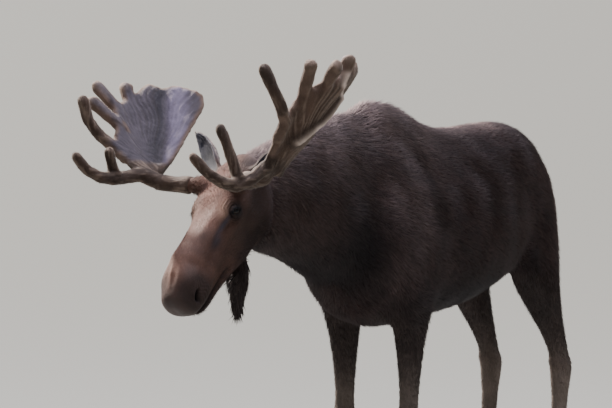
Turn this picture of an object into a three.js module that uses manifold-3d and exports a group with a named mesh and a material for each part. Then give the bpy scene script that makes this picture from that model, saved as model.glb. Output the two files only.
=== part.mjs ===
// A bull moose in summer velvet, browsing with its head lowered and turned a little to its right.
// Life size, in millimetres, +Z up. The head points to -X and the animal's left side to -Y.
// The whole body is lofted and joined as one form, and is then parted by thin straight cuts.

import * as THREE from 'three';
import { mergeVertices } from 'three/addons/utils/BufferGeometryUtils.js';
import Module from 'manifold-3d';

const wasm = await Module();
wasm.setup();

// ---------------------------------------------------------------- driving sizes

const GAP = 0.5; // width of the cuts that part the body
const TOUCH = 0.9; // clearance of a piece in its socket
const HUGE = 6000; // half-space cutters are blocks of this size

const LEFT = -1; // the animal's left is -Y
const RIGHT = 1;

// Poll (top of the skull) and the way the head is carried.
const POLL = new THREE.Vector3(-1292, 118, 1625);
const HEAD_YAW = 13; // degrees to the animal's right of straight ahead
const HEAD_PITCH = 52; // degrees below the horizon
const HEAD_ROLL = 7; // degrees, left side up

// The neck leaves the shoulders at this heading.
const NECK_START = new THREE.Vector3(-520, 10, 0);
const NECK_YAW = 8;

const EYE_RADIUS = 21;
const EYE = { along: 230, up: -2, side: 101 };

const PEDICLE = { along: 122, up: 41, side: 106 };

// ---------------------------------------------------------------- solids from meshes

/** Three.js geometry to a manifold solid. */
function toSolid(geometry) {
  const bare = geometry.index ? geometry.clone() : geometry;
  bare.deleteAttribute('normal');
  bare.deleteAttribute('uv');
  const merged = mergeVertices(bare, 1e-4);
  const mesh = new wasm.Mesh({
    numProp: 3,
    vertProperties: Float32Array.from(merged.attributes.position.array),
    triVerts: Uint32Array.from(merged.index.array),
  });
  return new wasm.Manifold(mesh);
}

/** Manifold solid back to a three.js geometry. */
function toGeometry(solid) {
  const mesh = solid.getMesh();
  const geometry = new THREE.BufferGeometry();
  geometry.setAttribute('position', new THREE.BufferAttribute(mesh.vertProperties, 3));
  geometry.setIndex(new THREE.BufferAttribute(mesh.triVerts, 1));
  geometry.computeVertexNormals();
  return geometry;
}

/** Closed geometry from a list of points and triangles, turned so that its faces point out. */
function closedGeometry(points, triangles) {
  let volume = 0;
  for (const [a, b, c] of triangles) {
    volume += points[a].dot(points[b].clone().cross(points[c]));
  }
  const facing = volume > 0 ? triangles : triangles.map(([a, b, c]) => [a, c, b]);
  const geometry = new THREE.BufferGeometry().setFromPoints(points);
  geometry.setIndex(facing.flat());
  return geometry;
}

/** Skin over rings of equally many points, each end closed by a fan round its own middle. */
function loft(rings) {
  const count = rings[0].length;
  const points = rings.flat();
  const triangles = [];
  for (let ring = 0; ring + 1 < rings.length; ring += 1) {
    for (let i = 0; i < count; i += 1) {
      const a = ring * count + i;
      const b = ring * count + ((i + 1) % count);
      triangles.push([a, b, b + count], [a, b + count, a + count]);
    }
  }
  for (const [ring, turn] of [[0, false], [rings.length - 1, true]]) {
    const middle = new THREE.Vector3();
    rings[ring].forEach((point) => middle.addScaledVector(point, 1 / count));
    points.push(middle);
    for (let i = 0; i < count; i += 1) {
      const a = ring * count + i;
      const b = ring * count + ((i + 1) % count);
      triangles.push(turn ? [a, b, points.length - 1] : [b, a, points.length - 1]);
    }
  }
  return toSolid(closedGeometry(points, triangles));
}

/** One coordinate of a rounded section: 2 is an ellipse, less is pointed, more is boxy. */
function rounded(wave, power) {
  return Math.sign(wave) * Math.abs(wave) ** (2 / power);
}

/**
 * A body form lofted through sections. A station is
 * [along, top, bottom, half width, height of the widest part, top power, bottom power],
 * and place(along, side, up) puts a point of it in the world.
 */
function bodyForm(stations, place, { sides = 16 } = {}) {
  const rings = stations.map((row) => {
    const [along, top, bottom, half, widest, topPower, bottomPower] = row;
    const ring = [];
    for (let i = 0; i < sides; i += 1) {
      const angle = (2 * Math.PI * i) / sides;
      const rise = Math.sin(angle);
      const power = rise > 0 ? topPower : bottomPower;
      const reach = rise > 0 ? top - widest : widest - bottom;
      const side = half * rounded(Math.cos(angle), power);
      ring.push(place(along, side, widest + reach * rounded(rise, power)));
    }
    return ring;
  });
  return loft(rings);
}

/** A leg lofted through level sections. A station is [height, x, y, half length, half width]. */
function legForm(stations, side, lag = 0) {
  const sides = 10;
  const power = 2.3; // of the rounded section
  const rings = stations.map(([height, x, y, halfLength, halfWidth]) => {
    const ring = [];
    for (let i = 0; i < sides; i += 1) {
      const angle = (2 * Math.PI * i) / sides;
      const along = halfLength * rounded(Math.cos(angle), power);
      const across = halfWidth * rounded(Math.sin(angle), power);
      ring.push(new THREE.Vector3(x + lag + along, side * y + across, height));
    }
    return ring;
  });
  return loft(rings);
}

/** Round branch along a curve, with a domed tip and a flat root. Radii are spread evenly along it. */
function branch(points, radii, { sides = 7, steps = 3, domeSteps = 2 } = {}) {
  const curve = new THREE.CatmullRomCurve3(points, false, 'centripetal');
  const frames = curve.computeFrenetFrames(steps, false);
  const radiusAt = (t) => {
    const place = t * (radii.length - 1);
    const i = Math.min(Math.floor(place), radii.length - 2);
    return THREE.MathUtils.lerp(radii[i], radii[i + 1], place - i);
  };
  const ringAt = (centre, step, radius) => {
    const ring = [];
    for (let i = 0; i < sides; i += 1) {
      const angle = (2 * Math.PI * i) / sides;
      const point = centre.clone();
      point.addScaledVector(frames.normals[step], radius * Math.cos(angle));
      point.addScaledVector(frames.binormals[step], radius * Math.sin(angle));
      ring.push(point);
    }
    return ring;
  };
  const rings = [];
  for (let step = 0; step <= steps; step += 1) {
    rings.push(ringAt(curve.getPointAt(step / steps), step, radiusAt(step / steps)));
  }
  const tip = curve.getPointAt(1);
  const tipRadius = radii[radii.length - 1];
  for (let i = 1; i <= domeSteps; i += 1) {
    const angle = (i / (domeSteps + 0.45)) * (Math.PI / 2);
    const centre = tip.clone().addScaledVector(frames.tangents[steps], tipRadius * Math.sin(angle));
    rings.push(ringAt(centre, steps, tipRadius * Math.cos(angle)));
  }
  return loft(rings);
}

/** Everything on the side of a plane that its normal points to. */
function halfSpace(point, normal) {
  const block = new THREE.BoxGeometry(HUGE, HUGE, HUGE);
  block.translate(0, 0, HUGE / 2);
  const turn = new THREE.Quaternion().setFromUnitVectors(new THREE.Vector3(0, 0, 1), normal);
  block.applyQuaternion(turn);
  block.translate(point.x, point.y, point.z);
  return toSolid(block);
}

/**
 * Parts a solid by a thin cut. Each plane is [point, normal], and the piece taken out lies on
 * the side of every plane that its normal points to. Returns that piece and the rest.
 */
function carve(solid, planes) {
  const wedge = (shift) => planes
    .map(([point, normal]) => {
      const unit = normal.clone().normalize();
      return halfSpace(point.clone().addScaledVector(unit, shift), unit);
    })
    .reduce((common, half) => common.intersect(half));
  return [solid.intersect(wedge(GAP / 2)), solid.subtract(wedge(-GAP / 2))];
}

const joined = (solids) => solids.reduce((sum, solid) => sum.add(solid));

// ---------------------------------------------------------------- frames of the head and neck

const radians = THREE.MathUtils.degToRad;

/** Head carriage: forward, left and up from the poll, after roll about the forward line and yaw. */
function fromPoll(forward, left, up) {
  const roll = radians(HEAD_ROLL);
  const yaw = radians(HEAD_YAW);
  const side = left * Math.cos(roll) - up * Math.sin(roll);
  const height = left * Math.sin(roll) + up * Math.cos(roll);
  return new THREE.Vector3(
    POLL.x - forward * Math.cos(yaw) - side * Math.sin(yaw),
    POLL.y + forward * Math.sin(yaw) - side * Math.cos(yaw),
    POLL.z + height,
  );
}

/** A point of the head: along the face from the poll, up from the face line, out to the left. */
function onHead(along, left, up) {
  const pitch = radians(HEAD_PITCH);
  const forward = along * Math.cos(pitch) + up * Math.sin(pitch);
  const height = up * Math.cos(pitch) - along * Math.sin(pitch);
  return fromPoll(forward, left, height);
}

/** A point of the neck: along its heading from the shoulders, out to the left, at a height. */
function onNeck(along, left, up) {
  const yaw = radians(NECK_YAW);
  return new THREE.Vector3(
    NECK_START.x - along * Math.cos(yaw) - left * Math.sin(yaw),
    NECK_START.y + along * Math.sin(yaw) - left * Math.cos(yaw),
    up,
  );
}

// ---------------------------------------------------------------- trunk, neck and head

// [x, top, bottom, half width, height of the widest part, top power, bottom power]
const TRUNK = [
  [-812, 1440, 1185, 84, 1300, 2.0, 2.0],
  [-780, 1570, 1090, 150, 1300, 2.0, 2.0],
  [-680, 1758, 975, 232, 1300, 1.7, 2.1],
  [-560, 1842, 932, 272, 1300, 1.5, 2.2],
  [-450, 1848, 922, 288, 1300, 1.45, 2.2],
  [-330, 1822, 925, 297, 1300, 1.5, 2.2],
  [-180, 1752, 932, 306, 1300, 1.7, 2.2],
  [-20, 1712, 942, 314, 1300, 1.9, 2.2],
  [170, 1702, 965, 306, 1320, 1.95, 2.2],
  [360, 1708, 1015, 282, 1350, 1.95, 2.2],
  [510, 1712, 1085, 254, 1390, 2.0, 2.1],
  [625, 1688, 1150, 216, 1420, 2.0, 2.0],
  [708, 1618, 1215, 160, 1420, 2.0, 2.0],
  [750, 1520, 1290, 86, 1400, 2.0, 2.0],
];

// The same sizes for the neck, along its heading.
const NECK = [
  [0, 1800, 1010, 225, 1340, 1.6, 2.0],
  [160, 1806, 1068, 222, 1380, 1.6, 2.0],
  [320, 1774, 1142, 205, 1420, 1.7, 2.0],
  [480, 1736, 1220, 184, 1450, 1.8, 2.0],
  [640, 1692, 1267, 160, 1460, 1.9, 2.0],
  [760, 1648, 1290, 140, 1458, 2.0, 2.0],
  [835, 1590, 1328, 112, 1450, 2.0, 2.0],
  [880, 1515, 1380, 60, 1445, 2.0, 2.0],
];

// The same for the head, along the face from the poll: up is square to the face line.
const HEAD = [
  [-60, 0, -120, 55, -65, 2.0, 2.0],
  [-25, 24, -176, 88, -72, 2.2, 2.0],
  [40, 48, -212, 104, -62, 2.4, 2.1],
  [110, 62, -224, 114, -42, 2.5, 2.2],
  [190, 64, -224, 118, -14, 2.5, 2.2],
  [255, 56, -212, 108, -8, 2.4, 2.2],
  [330, 62, -188, 91, -16, 2.2, 2.2],
  [410, 83, -152, 85, -22, 2.1, 2.2],
  [490, 102, -124, 84, -18, 2.1, 2.2],
  [560, 90, -108, 84, -16, 2.2, 2.2],
  [615, 66, -100, 79, -16, 2.3, 2.2],
  [658, 46, -88, 74, -16, 2.3, 2.2],
  [682, 14, -50, 45, -18, 2.2, 2.2],
];

// The same for the lower jaw, which ends short of the overhanging upper lip.
const JAW = [
  [130, -60, -206, 68, -132, 2.0, 2.2],
  [225, -60, -222, 88, -132, 2.0, 2.2],
  [320, -65, -200, 84, -130, 2.0, 2.2],
  [415, -68, -172, 68, -118, 2.0, 2.2],
  [510, -70, -148, 58, -110, 2.0, 2.2],
  [572, -74, -134, 56, -104, 2.0, 2.2],
  [615, -80, -124, 50, -102, 2.0, 2.2],
  [638, -88, -114, 28, -101, 2.0, 2.2],
];
const MOUTH = { front: { along: 634, up: -94 }, back: { along: 180, up: -136 }, hinge: 170 };

// The cuts that part the neck from the head and from the trunk.
const HEAD_CUT = -42; // forward of the poll
const NECK_CUT = { at: new THREE.Vector3(-640, 0, 1790), way: new THREE.Vector3(-0.97, 0, 0.24) };

// Bony brim of the eye socket, and the frontal bar that carries the antlers.
const ORBIT = { along: 222, side: 77, up: 4, length: 58, width: 42, height: 44 };
const FRONTAL = { along: 116, up: 12, radius: 52, burrRadius: 44 };

// ---------------------------------------------------------------- legs

const CORONET = 84; // where the hair of the leg meets the horn

// [height, x, y, half length, half width] from the coronet up to the shoulder or the hip.
const FORELEG = [
  [CORONET, -482, 166, 54, 52],
  [130, -466, 166, 42, 42],
  [178, -452, 166, 50, 44],
  [232, -450, 166, 39, 34],
  [360, -450, 166, 37, 32],
  [500, -452, 166, 45, 39],
  [575, -458, 166, 61, 48],
  [660, -453, 167, 62, 46],
  [780, -450, 169, 76, 52],
  [900, -452, 172, 93, 64],
  [1000, -462, 176, 120, 78],
  [1100, -486, 182, 154, 90],
  [1220, -506, 188, 188, 98],
  [1350, -500, 182, 198, 98],
  [1500, -465, 156, 165, 88],
  [1640, -430, 105, 90, 50],
];

const HINDLEG = [
  [CORONET, 769, 168, 56, 53],
  [136, 786, 168, 44, 43],
  [186, 800, 168, 52, 45],
  [245, 805, 168, 41, 36],
  [400, 813, 168, 40, 34],
  [530, 824, 168, 47, 37],
  [640, 834, 168, 70, 43],
  [725, 806, 168, 74, 46],
  [800, 760, 168, 84, 53],
  [900, 690, 168, 110, 66],
  [1000, 622, 170, 146, 80],
  [1110, 580, 170, 176, 92],
  [1220, 574, 166, 180, 94],
  [1350, 586, 154, 166, 90],
  [1480, 586, 134, 144, 84],
  [1600, 570, 98, 110, 58],
];

// Where each leg leaves the trunk: a slanting cut, and a plane beside the brisket or the groin.
const FORE_CUT = { at: new THREE.Vector3(-480, 0, 1010), slope: 0, inner: 88, from: -720, to: -250 };
const HIND_CUT = { at: new THREE.Vector3(590, 0, 1140), slope: 22, inner: 66, from: 340, to: 1100 };
const RIGHT_FORELEG_LAG = 60; // the right foreleg stands this much further back
const KNEE_HEIGHT = 580;
const HOCK_HEIGHT = 690;

const HOOF = { length: 145, width: 52, height: CORONET - 0.5, spread: 8 };
const DEWCLAW = { height: 134, sunk: 26, back: 62, side: 26, radius: 15, length: 34 };

// ---------------------------------------------------------------- ears, bell and tail

// Ear root and tip, forward, left and up from the poll, with the way its hollow faces.
const EARS = {
  left: { root: [8, 88, -34], tip: [-104, 252, 66], faces: [0.5, 0.35, -0.8] },
  right: { root: [16, -88, -30], tip: [-50, -272, 146], faces: [0.9, -0.25, 0.1] },
};
// [share of the length, half width, thickness, half angle of the rolled section]
const EAR = [
  [-0.16, 26, 24, 1.9],
  [0.05, 36, 20, 1.7],
  [0.25, 53, 15, 1.35],
  [0.45, 58, 15, 1.15],
  [0.7, 46, 14, 1.0],
  [0.9, 23, 11, 0.95],
  [1.0, 5, 6, 0.9],
];
const EAR_CUT = 0.16; // share of the ear's length that stays with the head

const BELL = { along: 300, up: -176, length: 215, radii: [46, 39, 20] };
const TAIL = { root: 742, height: 1540, sunk: 60, out: 34, length: 105, radius: 34, taper: 0.55 };

// ---------------------------------------------------------------- antlers

// Each antler is set out from its burr: forward, outward and up. Both share their plan, and
// the left palm stands steeper than the right one, so heights are given as [left, right].
const ANTLER = {
  burr: [0, 0, [0, 0]],
  fork: [43, 184, [8, 28]],
  browFork: [225, 227, [-20, 54]],
  browLow: [360, 222, [18, 78]],
  browLowTip: [444, 214, [99, 151]],
  browHigh: [252, 220, [96, 108]],
  browHighTip: [278, 203, [200, 159]],
  palmFront: [85, 230, [40, 64]],
  palmRear: [6, 226, [20, 62]],
  tineRoot1: [86, 358, [205, 170]],
  tineBend1: [174, 405, [312, 275]],
  tineTip1: [210, 396, [406, 370]],
  tineRoot2: [24, 405, [300, 272]],
  tineTip2: [64, 498, [408, 368]],
  tineRoot3: [-38, 470, [332, 338]],
  tineTip3: [-20, 546, [392, 424]],
  tineRoot4: [-118, 474, [342, 346]],
  tineTip4: [-134, 506, [416, 416]],
  rimMiddle: [-196, 458, [386, 400]],
  rimRear: [-264, 400, [383, 387]],
  rimCorner: [-350, 312, [376, 356]],
};
const RIM = ['tineRoot1', 'tineRoot2', 'tineRoot3', 'tineRoot4', 'rimMiddle', 'rimRear', 'rimCorner'];
// The palm's plate: its rear edge bows out by [left, right].
const PALM = { thickness: 26, rim: 36, lip: 28, bulge: 20, rearBow: [70, 12], across: 9, up: 3 };

// Radii of the round members from root to tip.
const BEAM_RADII = [42, 38, 31, 33, 30];
const BROW_RADII = [30, 28, 27, 23, 22];
const BROW_HIGH_RADII = [26, 22, 22];
const FRONT_TINE_RADII = [24, 25, 24, 26];
const RIM_TINE_RADII = { 2: [20, 25, 25, 27], 3: [20, 25, 26], 4: [20, 26, 28] };

// Where the antler is parted: past the burr, along the brow stem and the front tine, up the palm.
const ANTLER_CUTS = { burr: 40, brow: 0.42, tine: 0.35, palm: 52 };

/** A named point of an antler, in the world. */
function antlerPoint(name, side) {
  const [forward, out, heights] = ANTLER[name];
  const left = side === LEFT ? 1 : -1;
  const burr = onHead(PEDICLE.along, left * PEDICLE.side, PEDICLE.up);
  const offset = fromPoll(forward, left * out, heights[side === LEFT ? 0 : 1]).sub(POLL);
  return burr.add(offset);
}

/** The palm: a bowed plate from its root on the beam to its rim, thickest in its rolled border. */
function palmForm(side) {
  const at = (name) => antlerPoint(name, side);
  const rootLine = [at('palmFront'), at('palmRear')];
  const rimLine = new THREE.CatmullRomCurve3(RIM.map(at), false, 'centripetal');
  const outward = fromPoll(-0.45, side === LEFT ? 0.75 : -0.75, -0.5).sub(POLL).normalize();
  const rearward = at('rimCorner').sub(at('rimMiddle')).normalize();
  const rearBow = PALM.rearBow[side === LEFT ? 0 : 1];
  const surface = (u, v) => {
    const root = rootLine[0].clone().lerp(rootLine[1], v);
    const arch = Math.sin(Math.PI * u);
    return root.lerp(rimLine.getPointAt(v), u)
      .addScaledVector(outward, PALM.bulge * arch * Math.sin(Math.PI * v ** 1.6))
      .addScaledVector(rearward, rearBow * arch * v ** 2);
  };
  const slopes = (u, v) => {
    const step = 0.02;
    const du = surface(Math.min(u + step, 1), v).sub(surface(Math.max(u - step, 0), v)).normalize();
    const dv = surface(u, Math.min(v + step, 1)).sub(surface(u, Math.max(v - step, 0))).normalize();
    return { du, dv, normal: du.clone().cross(dv).normalize() };
  };
  const { across, up } = PALM;
  const row = across + 1;
  const sheet = row * (up + 1);
  const points = [];
  for (const face of [1, -1]) {
    for (let k = 0; k < sheet; k += 1) {
      const [u, v] = [Math.floor(k / row) / up, (k % row) / across];
      const onBorder = u === 0 || u === 1 || v === 0 || v === 1;
      const thickness = onBorder ? PALM.rim : PALM.thickness;
      points.push(surface(u, v).addScaledVector(slopes(u, v).normal, (face * thickness) / 2));
    }
  }
  const triangles = [];
  for (let j = 0; j < up; j += 1) {
    for (let i = 0; i < across; i += 1) {
      const a = j * row + i;
      triangles.push([a, a + 1, a + row + 1], [a, a + row + 1, a + row]);
      triangles.push([sheet + a, sheet + a + row + 1, sheet + a + 1]);
      triangles.push([sheet + a, sheet + a + row, sheet + a + row + 1]);
    }
  }
  const border = [];
  for (let i = 0; i < across; i += 1) border.push(i);
  for (let j = 0; j < up; j += 1) border.push(j * row + across);
  for (let i = across; i > 0; i -= 1) border.push(up * row + i);
  for (let j = up; j > 0; j -= 1) border.push(j * row);
  // The rounded lip: a ring of points pushed out from the border in the plate's own plane.
  const lip = points.length;
  border.forEach((k) => {
    const [u, v] = [Math.floor(k / row) / up, (k % row) / across];
    const { du, dv } = slopes(u, v);
    const out = new THREE.Vector3();
    if (u === 0 || u === 1) out.addScaledVector(du, u === 1 ? 1 : -1);
    if (v === 0 || v === 1) out.addScaledVector(dv, v === 1 ? 1 : -1);
    points.push(surface(u, v).addScaledVector(out.normalize(), PALM.lip));
  });
  border.forEach((a, i) => {
    const next = (i + 1) % border.length;
    const b = border[next];
    const [c, d] = [lip + i, lip + next];
    triangles.push([b, a, c], [b, c, d], [d, c, sheet + a], [d, sheet + a, sheet + b]);
  });
  return toSolid(closedGeometry(points, triangles));
}

/** One antler, parted at its main forks. Returns its nodes and the stub that stays in the skull. */
function antlerPieces(side) {
  const at = (name) => antlerPoint(name, side);
  const between = (from, to, share) => at(from).lerp(at(to), share);
  const way = (from, to) => at(to).sub(at(from)).normalize();
  const inSkull = between('burr', 'fork', -0.2);
  const shaftLine = [inSkull, at('burr'), at('fork'), at('palmFront')];
  const browLine = ['fork', 'palmFront', 'browFork', 'browLow', 'browLowTip'].map(at);
  const frontRoot = between('palmFront', 'tineRoot1', 0.6);
  const frontLine = [frontRoot, ...['tineRoot1', 'tineBend1', 'tineTip1'].map(at)];
  const shaft = branch(shaftLine, BEAM_RADII, { sides: 9, steps: 4 });
  const brow = joined([
    branch(browLine, BROW_RADII, { steps: 6 }),
    branch(['browFork', 'browHigh', 'browHighTip'].map(at), BROW_HIGH_RADII),
  ]);
  const frontTine = branch(frontLine, FRONT_TINE_RADII, { steps: 4 });
  const rimTines = Object.entries(RIM_TINE_RADII).map(([number, radii]) => {
    const start = between(`tineRoot${number}`, 'palmRear', 0.15);
    return branch([start, at(`tineRoot${number}`), at(`tineTip${number}`)], radii);
  });

  const palmRoot = between('palmFront', 'palmRear', 0.5);
  const palmWay = between('rimMiddle', 'tineRoot2', 0.5).sub(palmRoot).normalize();
  const browPlane = [between('palmFront', 'browFork', ANTLER_CUTS.brow), way('palmFront', 'browFork')];
  const tinePlane = [between('tineRoot1', 'tineBend1', ANTLER_CUTS.tine), way('tineRoot1', 'tineBend1')];
  const palmPlane = [palmRoot.addScaledVector(palmWay, ANTLER_CUTS.palm), palmWay];
  const beamWay = way('burr', 'fork');
  const burrPlane = [at('burr').addScaledVector(beamWay, ANTLER_CUTS.burr), beamWay];

  const [browPiece, browRoot] = carve(brow, [browPlane]);
  const [tinePiece, tineRoot] = carve(frontTine, [tinePlane]);
  const [palmPiece, palmFoot] = carve(joined([palmForm(side), ...rimTines, tineRoot]), [palmPlane]);
  const [beamPiece, stub] = carve(joined([shaft, browRoot, palmFoot]), [burrPlane]);
  return { stub, pieces: { beam: beamPiece, brow: browPiece, palm: palmPiece, tine: tinePiece } };
}

// ---------------------------------------------------------------- small pieces of the head

/** An ellipsoid in the head's frame, grown by a margin. */
function headBall({ along, side, up }, radii, left, grow = 0) {
  const ball = new THREE.SphereGeometry(1, 10, 6);
  const position = ball.attributes.position;
  for (let i = 0; i < position.count; i += 1) {
    const point = onHead(
      along + position.getX(i) * (radii.length + grow),
      left * side + position.getY(i) * (radii.width + grow),
      up + position.getZ(i) * (radii.height + grow),
    );
    position.setXYZ(i, point.x, point.y, point.z);
  }
  return toSolid(ball);
}

/** A leaf-shaped ear, rolled into a tube at its root and cupped towards the way that it faces. */
function earForm({ root, tip, faces }) {
  const start = fromPoll(...root);
  const end = fromPoll(...tip);
  const axis = end.clone().sub(start).normalize();
  const front = fromPoll(...faces).sub(POLL);
  front.addScaledVector(axis, -front.dot(axis)).normalize();
  const side = axis.clone().cross(front);
  const arcSteps = 4;
  const rings = EAR.map(([share, half, thickness, curl]) => {
    const middle = start.clone().lerp(end, share);
    const radius = half / Math.sin(Math.min(curl, Math.PI / 2));
    const pointAt = (angle, reach) => middle.clone()
      .addScaledVector(side, reach * Math.sin(angle))
      .addScaledVector(front, radius * 0.5 - reach * Math.cos(angle));
    const ring = [];
    for (let i = 0; i <= arcSteps; i += 1) {
      ring.push(pointAt(THREE.MathUtils.lerp(-curl, curl, i / arcSteps), radius));
    }
    for (let i = arcSteps; i >= 0; i -= 1) {
      ring.push(pointAt(THREE.MathUtils.lerp(-curl, curl, i / arcSteps), radius - thickness));
    }
    return ring;
  });
  return { form: loft(rings), plane: [start.clone().lerp(end, EAR_CUT), axis] };
}

// ---------------------------------------------------------------- feet

/** One horn cleave of a hoof: flat sole, sloping toe, pointed to the front. */
function cleave(x, y) {
  // [share of the height, half length, half width, middle along x]
  const levels = [
    [0, HOOF.length / 2, HOOF.width / 2, 0],
    [0.55, HOOF.length * 0.45, HOOF.width / 2, 9],
    [1, HOOF.length * 0.36, HOOF.width * 0.46, 20],
  ];
  const sides = 10;
  const rings = levels.map(([share, halfLength, halfWidth, shift]) => {
    const ring = [];
    for (let i = 0; i < sides; i += 1) {
      const angle = (2 * Math.PI * i) / sides;
      const toe = Math.max(0, -Math.cos(angle));
      const across = halfWidth * Math.sin(angle) * (1 - 0.35 * toe);
      ring.push(new THREE.Vector3(x + shift + halfLength * Math.cos(angle), y + across, share * HOOF.height));
    }
    return ring;
  });
  return loft(rings);
}

/** A dewclaw: a blunt horn that hangs behind the pastern, its root sunk in the flesh. */
function dewclawForm(x, y, grow = 0) {
  const { height, sunk, back, radius, length } = DEWCLAW;
  const root = new THREE.Vector3(x + back - sunk - grow, y, height);
  const tip = new THREE.Vector3(x + back, y, height - length);
  const radii = [1, 1, 0.6].map((share) => radius * share + grow);
  return branch([root, root.clone().lerp(tip, 0.5), tip], radii, { sides: 6, steps: 2, domeSteps: 1 });
}

// ---------------------------------------------------------------- putting it together

const slots = {
  coat: { color: 0x4b3a36, roughness: 0.9, metalness: 0 },
  face: { color: 0x80604d, roughness: 0.85, metalness: 0 },
  leg_coat: { color: 0x7c6a5c, roughness: 0.9, metalness: 0 },
  ear: { color: 0x8a7568, roughness: 0.9, metalness: 0 },
  velvet: { color: 0x7b604a, roughness: 0.95, metalness: 0 },
  eye: { color: 0x1a100a, roughness: 0.1, metalness: 0 },
  hoof: { color: 0x241f1c, roughness: 0.5, metalness: 0 },
};

const moose = new THREE.Group();

function addNode(name, solid, slot) {
  const material = new THREE.MeshStandardMaterial(slots[slot]);
  const mesh = new THREE.Mesh(toGeometry(solid), material);
  mesh.name = name;
  moose.add(mesh);
}

const straight = (x, side, up) => new THREE.Vector3(x, side, up);
const sideNames = [[LEFT, 'left'], [RIGHT, 'right']];
const leftward = (side) => (side === LEFT ? 1 : -1);

/** The bony bar across the forehead, swollen in the middle and ending in the pedicles. */
function frontalForm() {
  const line = [1, 0, -1].map((left) => onHead(
    Math.abs(left) ? PEDICLE.along : FRONTAL.along,
    left * PEDICLE.side * 0.9,
    Math.abs(left) ? PEDICLE.up : FRONTAL.up,
  ));
  return branch(line, [FRONTAL.burrRadius, FRONTAL.radius, FRONTAL.burrRadius], { sides: 10 });
}

/** The short tail, which hangs close to the rump in a groove of it. */
function tailForm(grow = 0) {
  const line = [
    new THREE.Vector3(TAIL.root - TAIL.sunk - grow, 0, TAIL.height),
    new THREE.Vector3(TAIL.root, 0, TAIL.height),
    new THREE.Vector3(TAIL.root + TAIL.out, 0, TAIL.height - TAIL.length),
  ];
  return branch(line, [1, 1, TAIL.taper].map((share) => TAIL.radius * share + grow), { sides: 8, steps: 4 });
}

/** The bell, a flap of skin and hair under the throat, its root sunk in the throat. */
function bellForm(grow = 0) {
  const root = onHead(BELL.along, 0, BELL.up);
  const below = (drop, forward) => root.clone().add(new THREE.Vector3(forward, 0, -drop));
  const line = [below(-grow, 0), below(BELL.length / 2, 6), below(BELL.length, -4)];
  return branch(line, BELL.radii.map((radius) => radius + grow), { sides: 8, steps: 4 });
}

/** Parts one leg from the body, adds its nodes and returns what is left of the body. */
function addLeg(body, name, side, { stations, cut, jointHeight, lag }) {
  const slope = radians(cut.slope);
  const [leg, rest] = carve(body, [
    [cut.at, new THREE.Vector3(Math.sin(slope), 0, -Math.cos(slope))],
    [new THREE.Vector3(0, side * cut.inner, 0), new THREE.Vector3(0, side, 0)],
    [new THREE.Vector3(cut.from, 0, 0), new THREE.Vector3(1, 0, 0)],
    [new THREE.Vector3(cut.to, 0, 0), new THREE.Vector3(-1, 0, 0)],
  ]);
  const [upper, lower] = carve(leg, [[new THREE.Vector3(0, 0, jointHeight), new THREE.Vector3(0, 0, 1)]]);
  const [, footX, footY] = stations[0];
  const x = footX + lag;
  let shin = lower;
  for (const [outward, place] of [[1, 'outer'], [-1, 'inner']]) {
    const clawY = side * (footY + outward * DEWCLAW.side);
    const cleaveY = side * (footY + (outward * (HOOF.width + HOOF.spread)) / 2);
    shin = shin.subtract(dewclawForm(x, clawY, TOUCH));
    addNode(`${name}_dewclaw_${place}`, dewclawForm(x, clawY), 'hoof');
    addNode(`${name}_hoof_${place}`, cleave(x, cleaveY), 'hoof');
  }
  addNode(`${name}_upper`, upper, 'coat');
  addNode(`${name}_lower`, shin, 'leg_coat');
  return rest;
}

// The whole body is one form first.
const antlers = { left: antlerPieces(LEFT), right: antlerPieces(RIGHT) };
let body = joined([
  bodyForm(TRUNK, straight),
  bodyForm(NECK, onNeck),
  bodyForm(HEAD, onHead),
  bodyForm(JAW, onHead, { sides: 12 }),
  legForm(FORELEG, LEFT),
  legForm(FORELEG, RIGHT, RIGHT_FORELEG_LAG),
  legForm(HINDLEG, LEFT),
  legForm(HINDLEG, RIGHT),
  frontalForm(),
  headBall(ORBIT, ORBIT, leftward(LEFT)),
  headBall(ORBIT, ORBIT, leftward(RIGHT)),
  antlers.left.stub,
  antlers.right.stub,
]);

for (const [, name] of sideNames) {
  for (const [piece, solid] of Object.entries(antlers[name].pieces)) {
    addNode(`antler_${name}_${piece}`, solid, 'velvet');
  }
}

// Eyes, tail and bell sit in sockets of the body.
const eyeball = { length: EYE_RADIUS, width: EYE_RADIUS, height: EYE_RADIUS };
for (const [side, name] of sideNames) {
  body = body.subtract(headBall(EYE, eyeball, leftward(side), TOUCH));
  addNode(`eye_${name}`, headBall(EYE, eyeball, leftward(side)), 'eye');
}
body = body.subtract(tailForm(TOUCH)).subtract(bellForm(TOUCH));
addNode('tail', tailForm(), 'coat');
addNode('bell', bellForm(), 'coat');

// An ear's rolled root is one with the head, and the ear is parted from it just above.
for (const [, name] of sideNames) {
  const { form, plane } = earForm(EARS[name]);
  const [ear, root] = carve(form, [plane]);
  body = body.add(root);
  addNode(`ear_${name}`, ear, 'ear');
}

// The head and the neck are parted by straight cuts, and the jaw along the line of the mouth.
const neckWay = onNeck(1, 0, 0).sub(onNeck(0, 0, 0));
const [headPiece, behindHead] = carve(body, [[fromPoll(HEAD_CUT, 0, 0), neckWay]]);
const [neckPiece, trunkAndLegs] = carve(behindHead, [[NECK_CUT.at, NECK_CUT.way]]);
const mouthFront = onHead(MOUTH.front.along, 0, MOUTH.front.up);
const mouthWay = mouthFront.clone().sub(onHead(MOUTH.back.along, 0, MOUTH.back.up));
const headLeft = onHead(0, 1, 0).sub(onHead(0, 0, 0));
const faceWay = onHead(1, 0, 0).sub(onHead(0, 0, 0));
const [jawPiece, skullPiece] = carve(headPiece, [
  [mouthFront, headLeft.cross(mouthWay)],
  [onHead(MOUTH.hinge, 0, 0), faceWay],
]);
addNode('head', skullPiece, 'face');
addNode('lower_jaw', jawPiece, 'face');
addNode('neck', neckPiece, 'coat');

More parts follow.
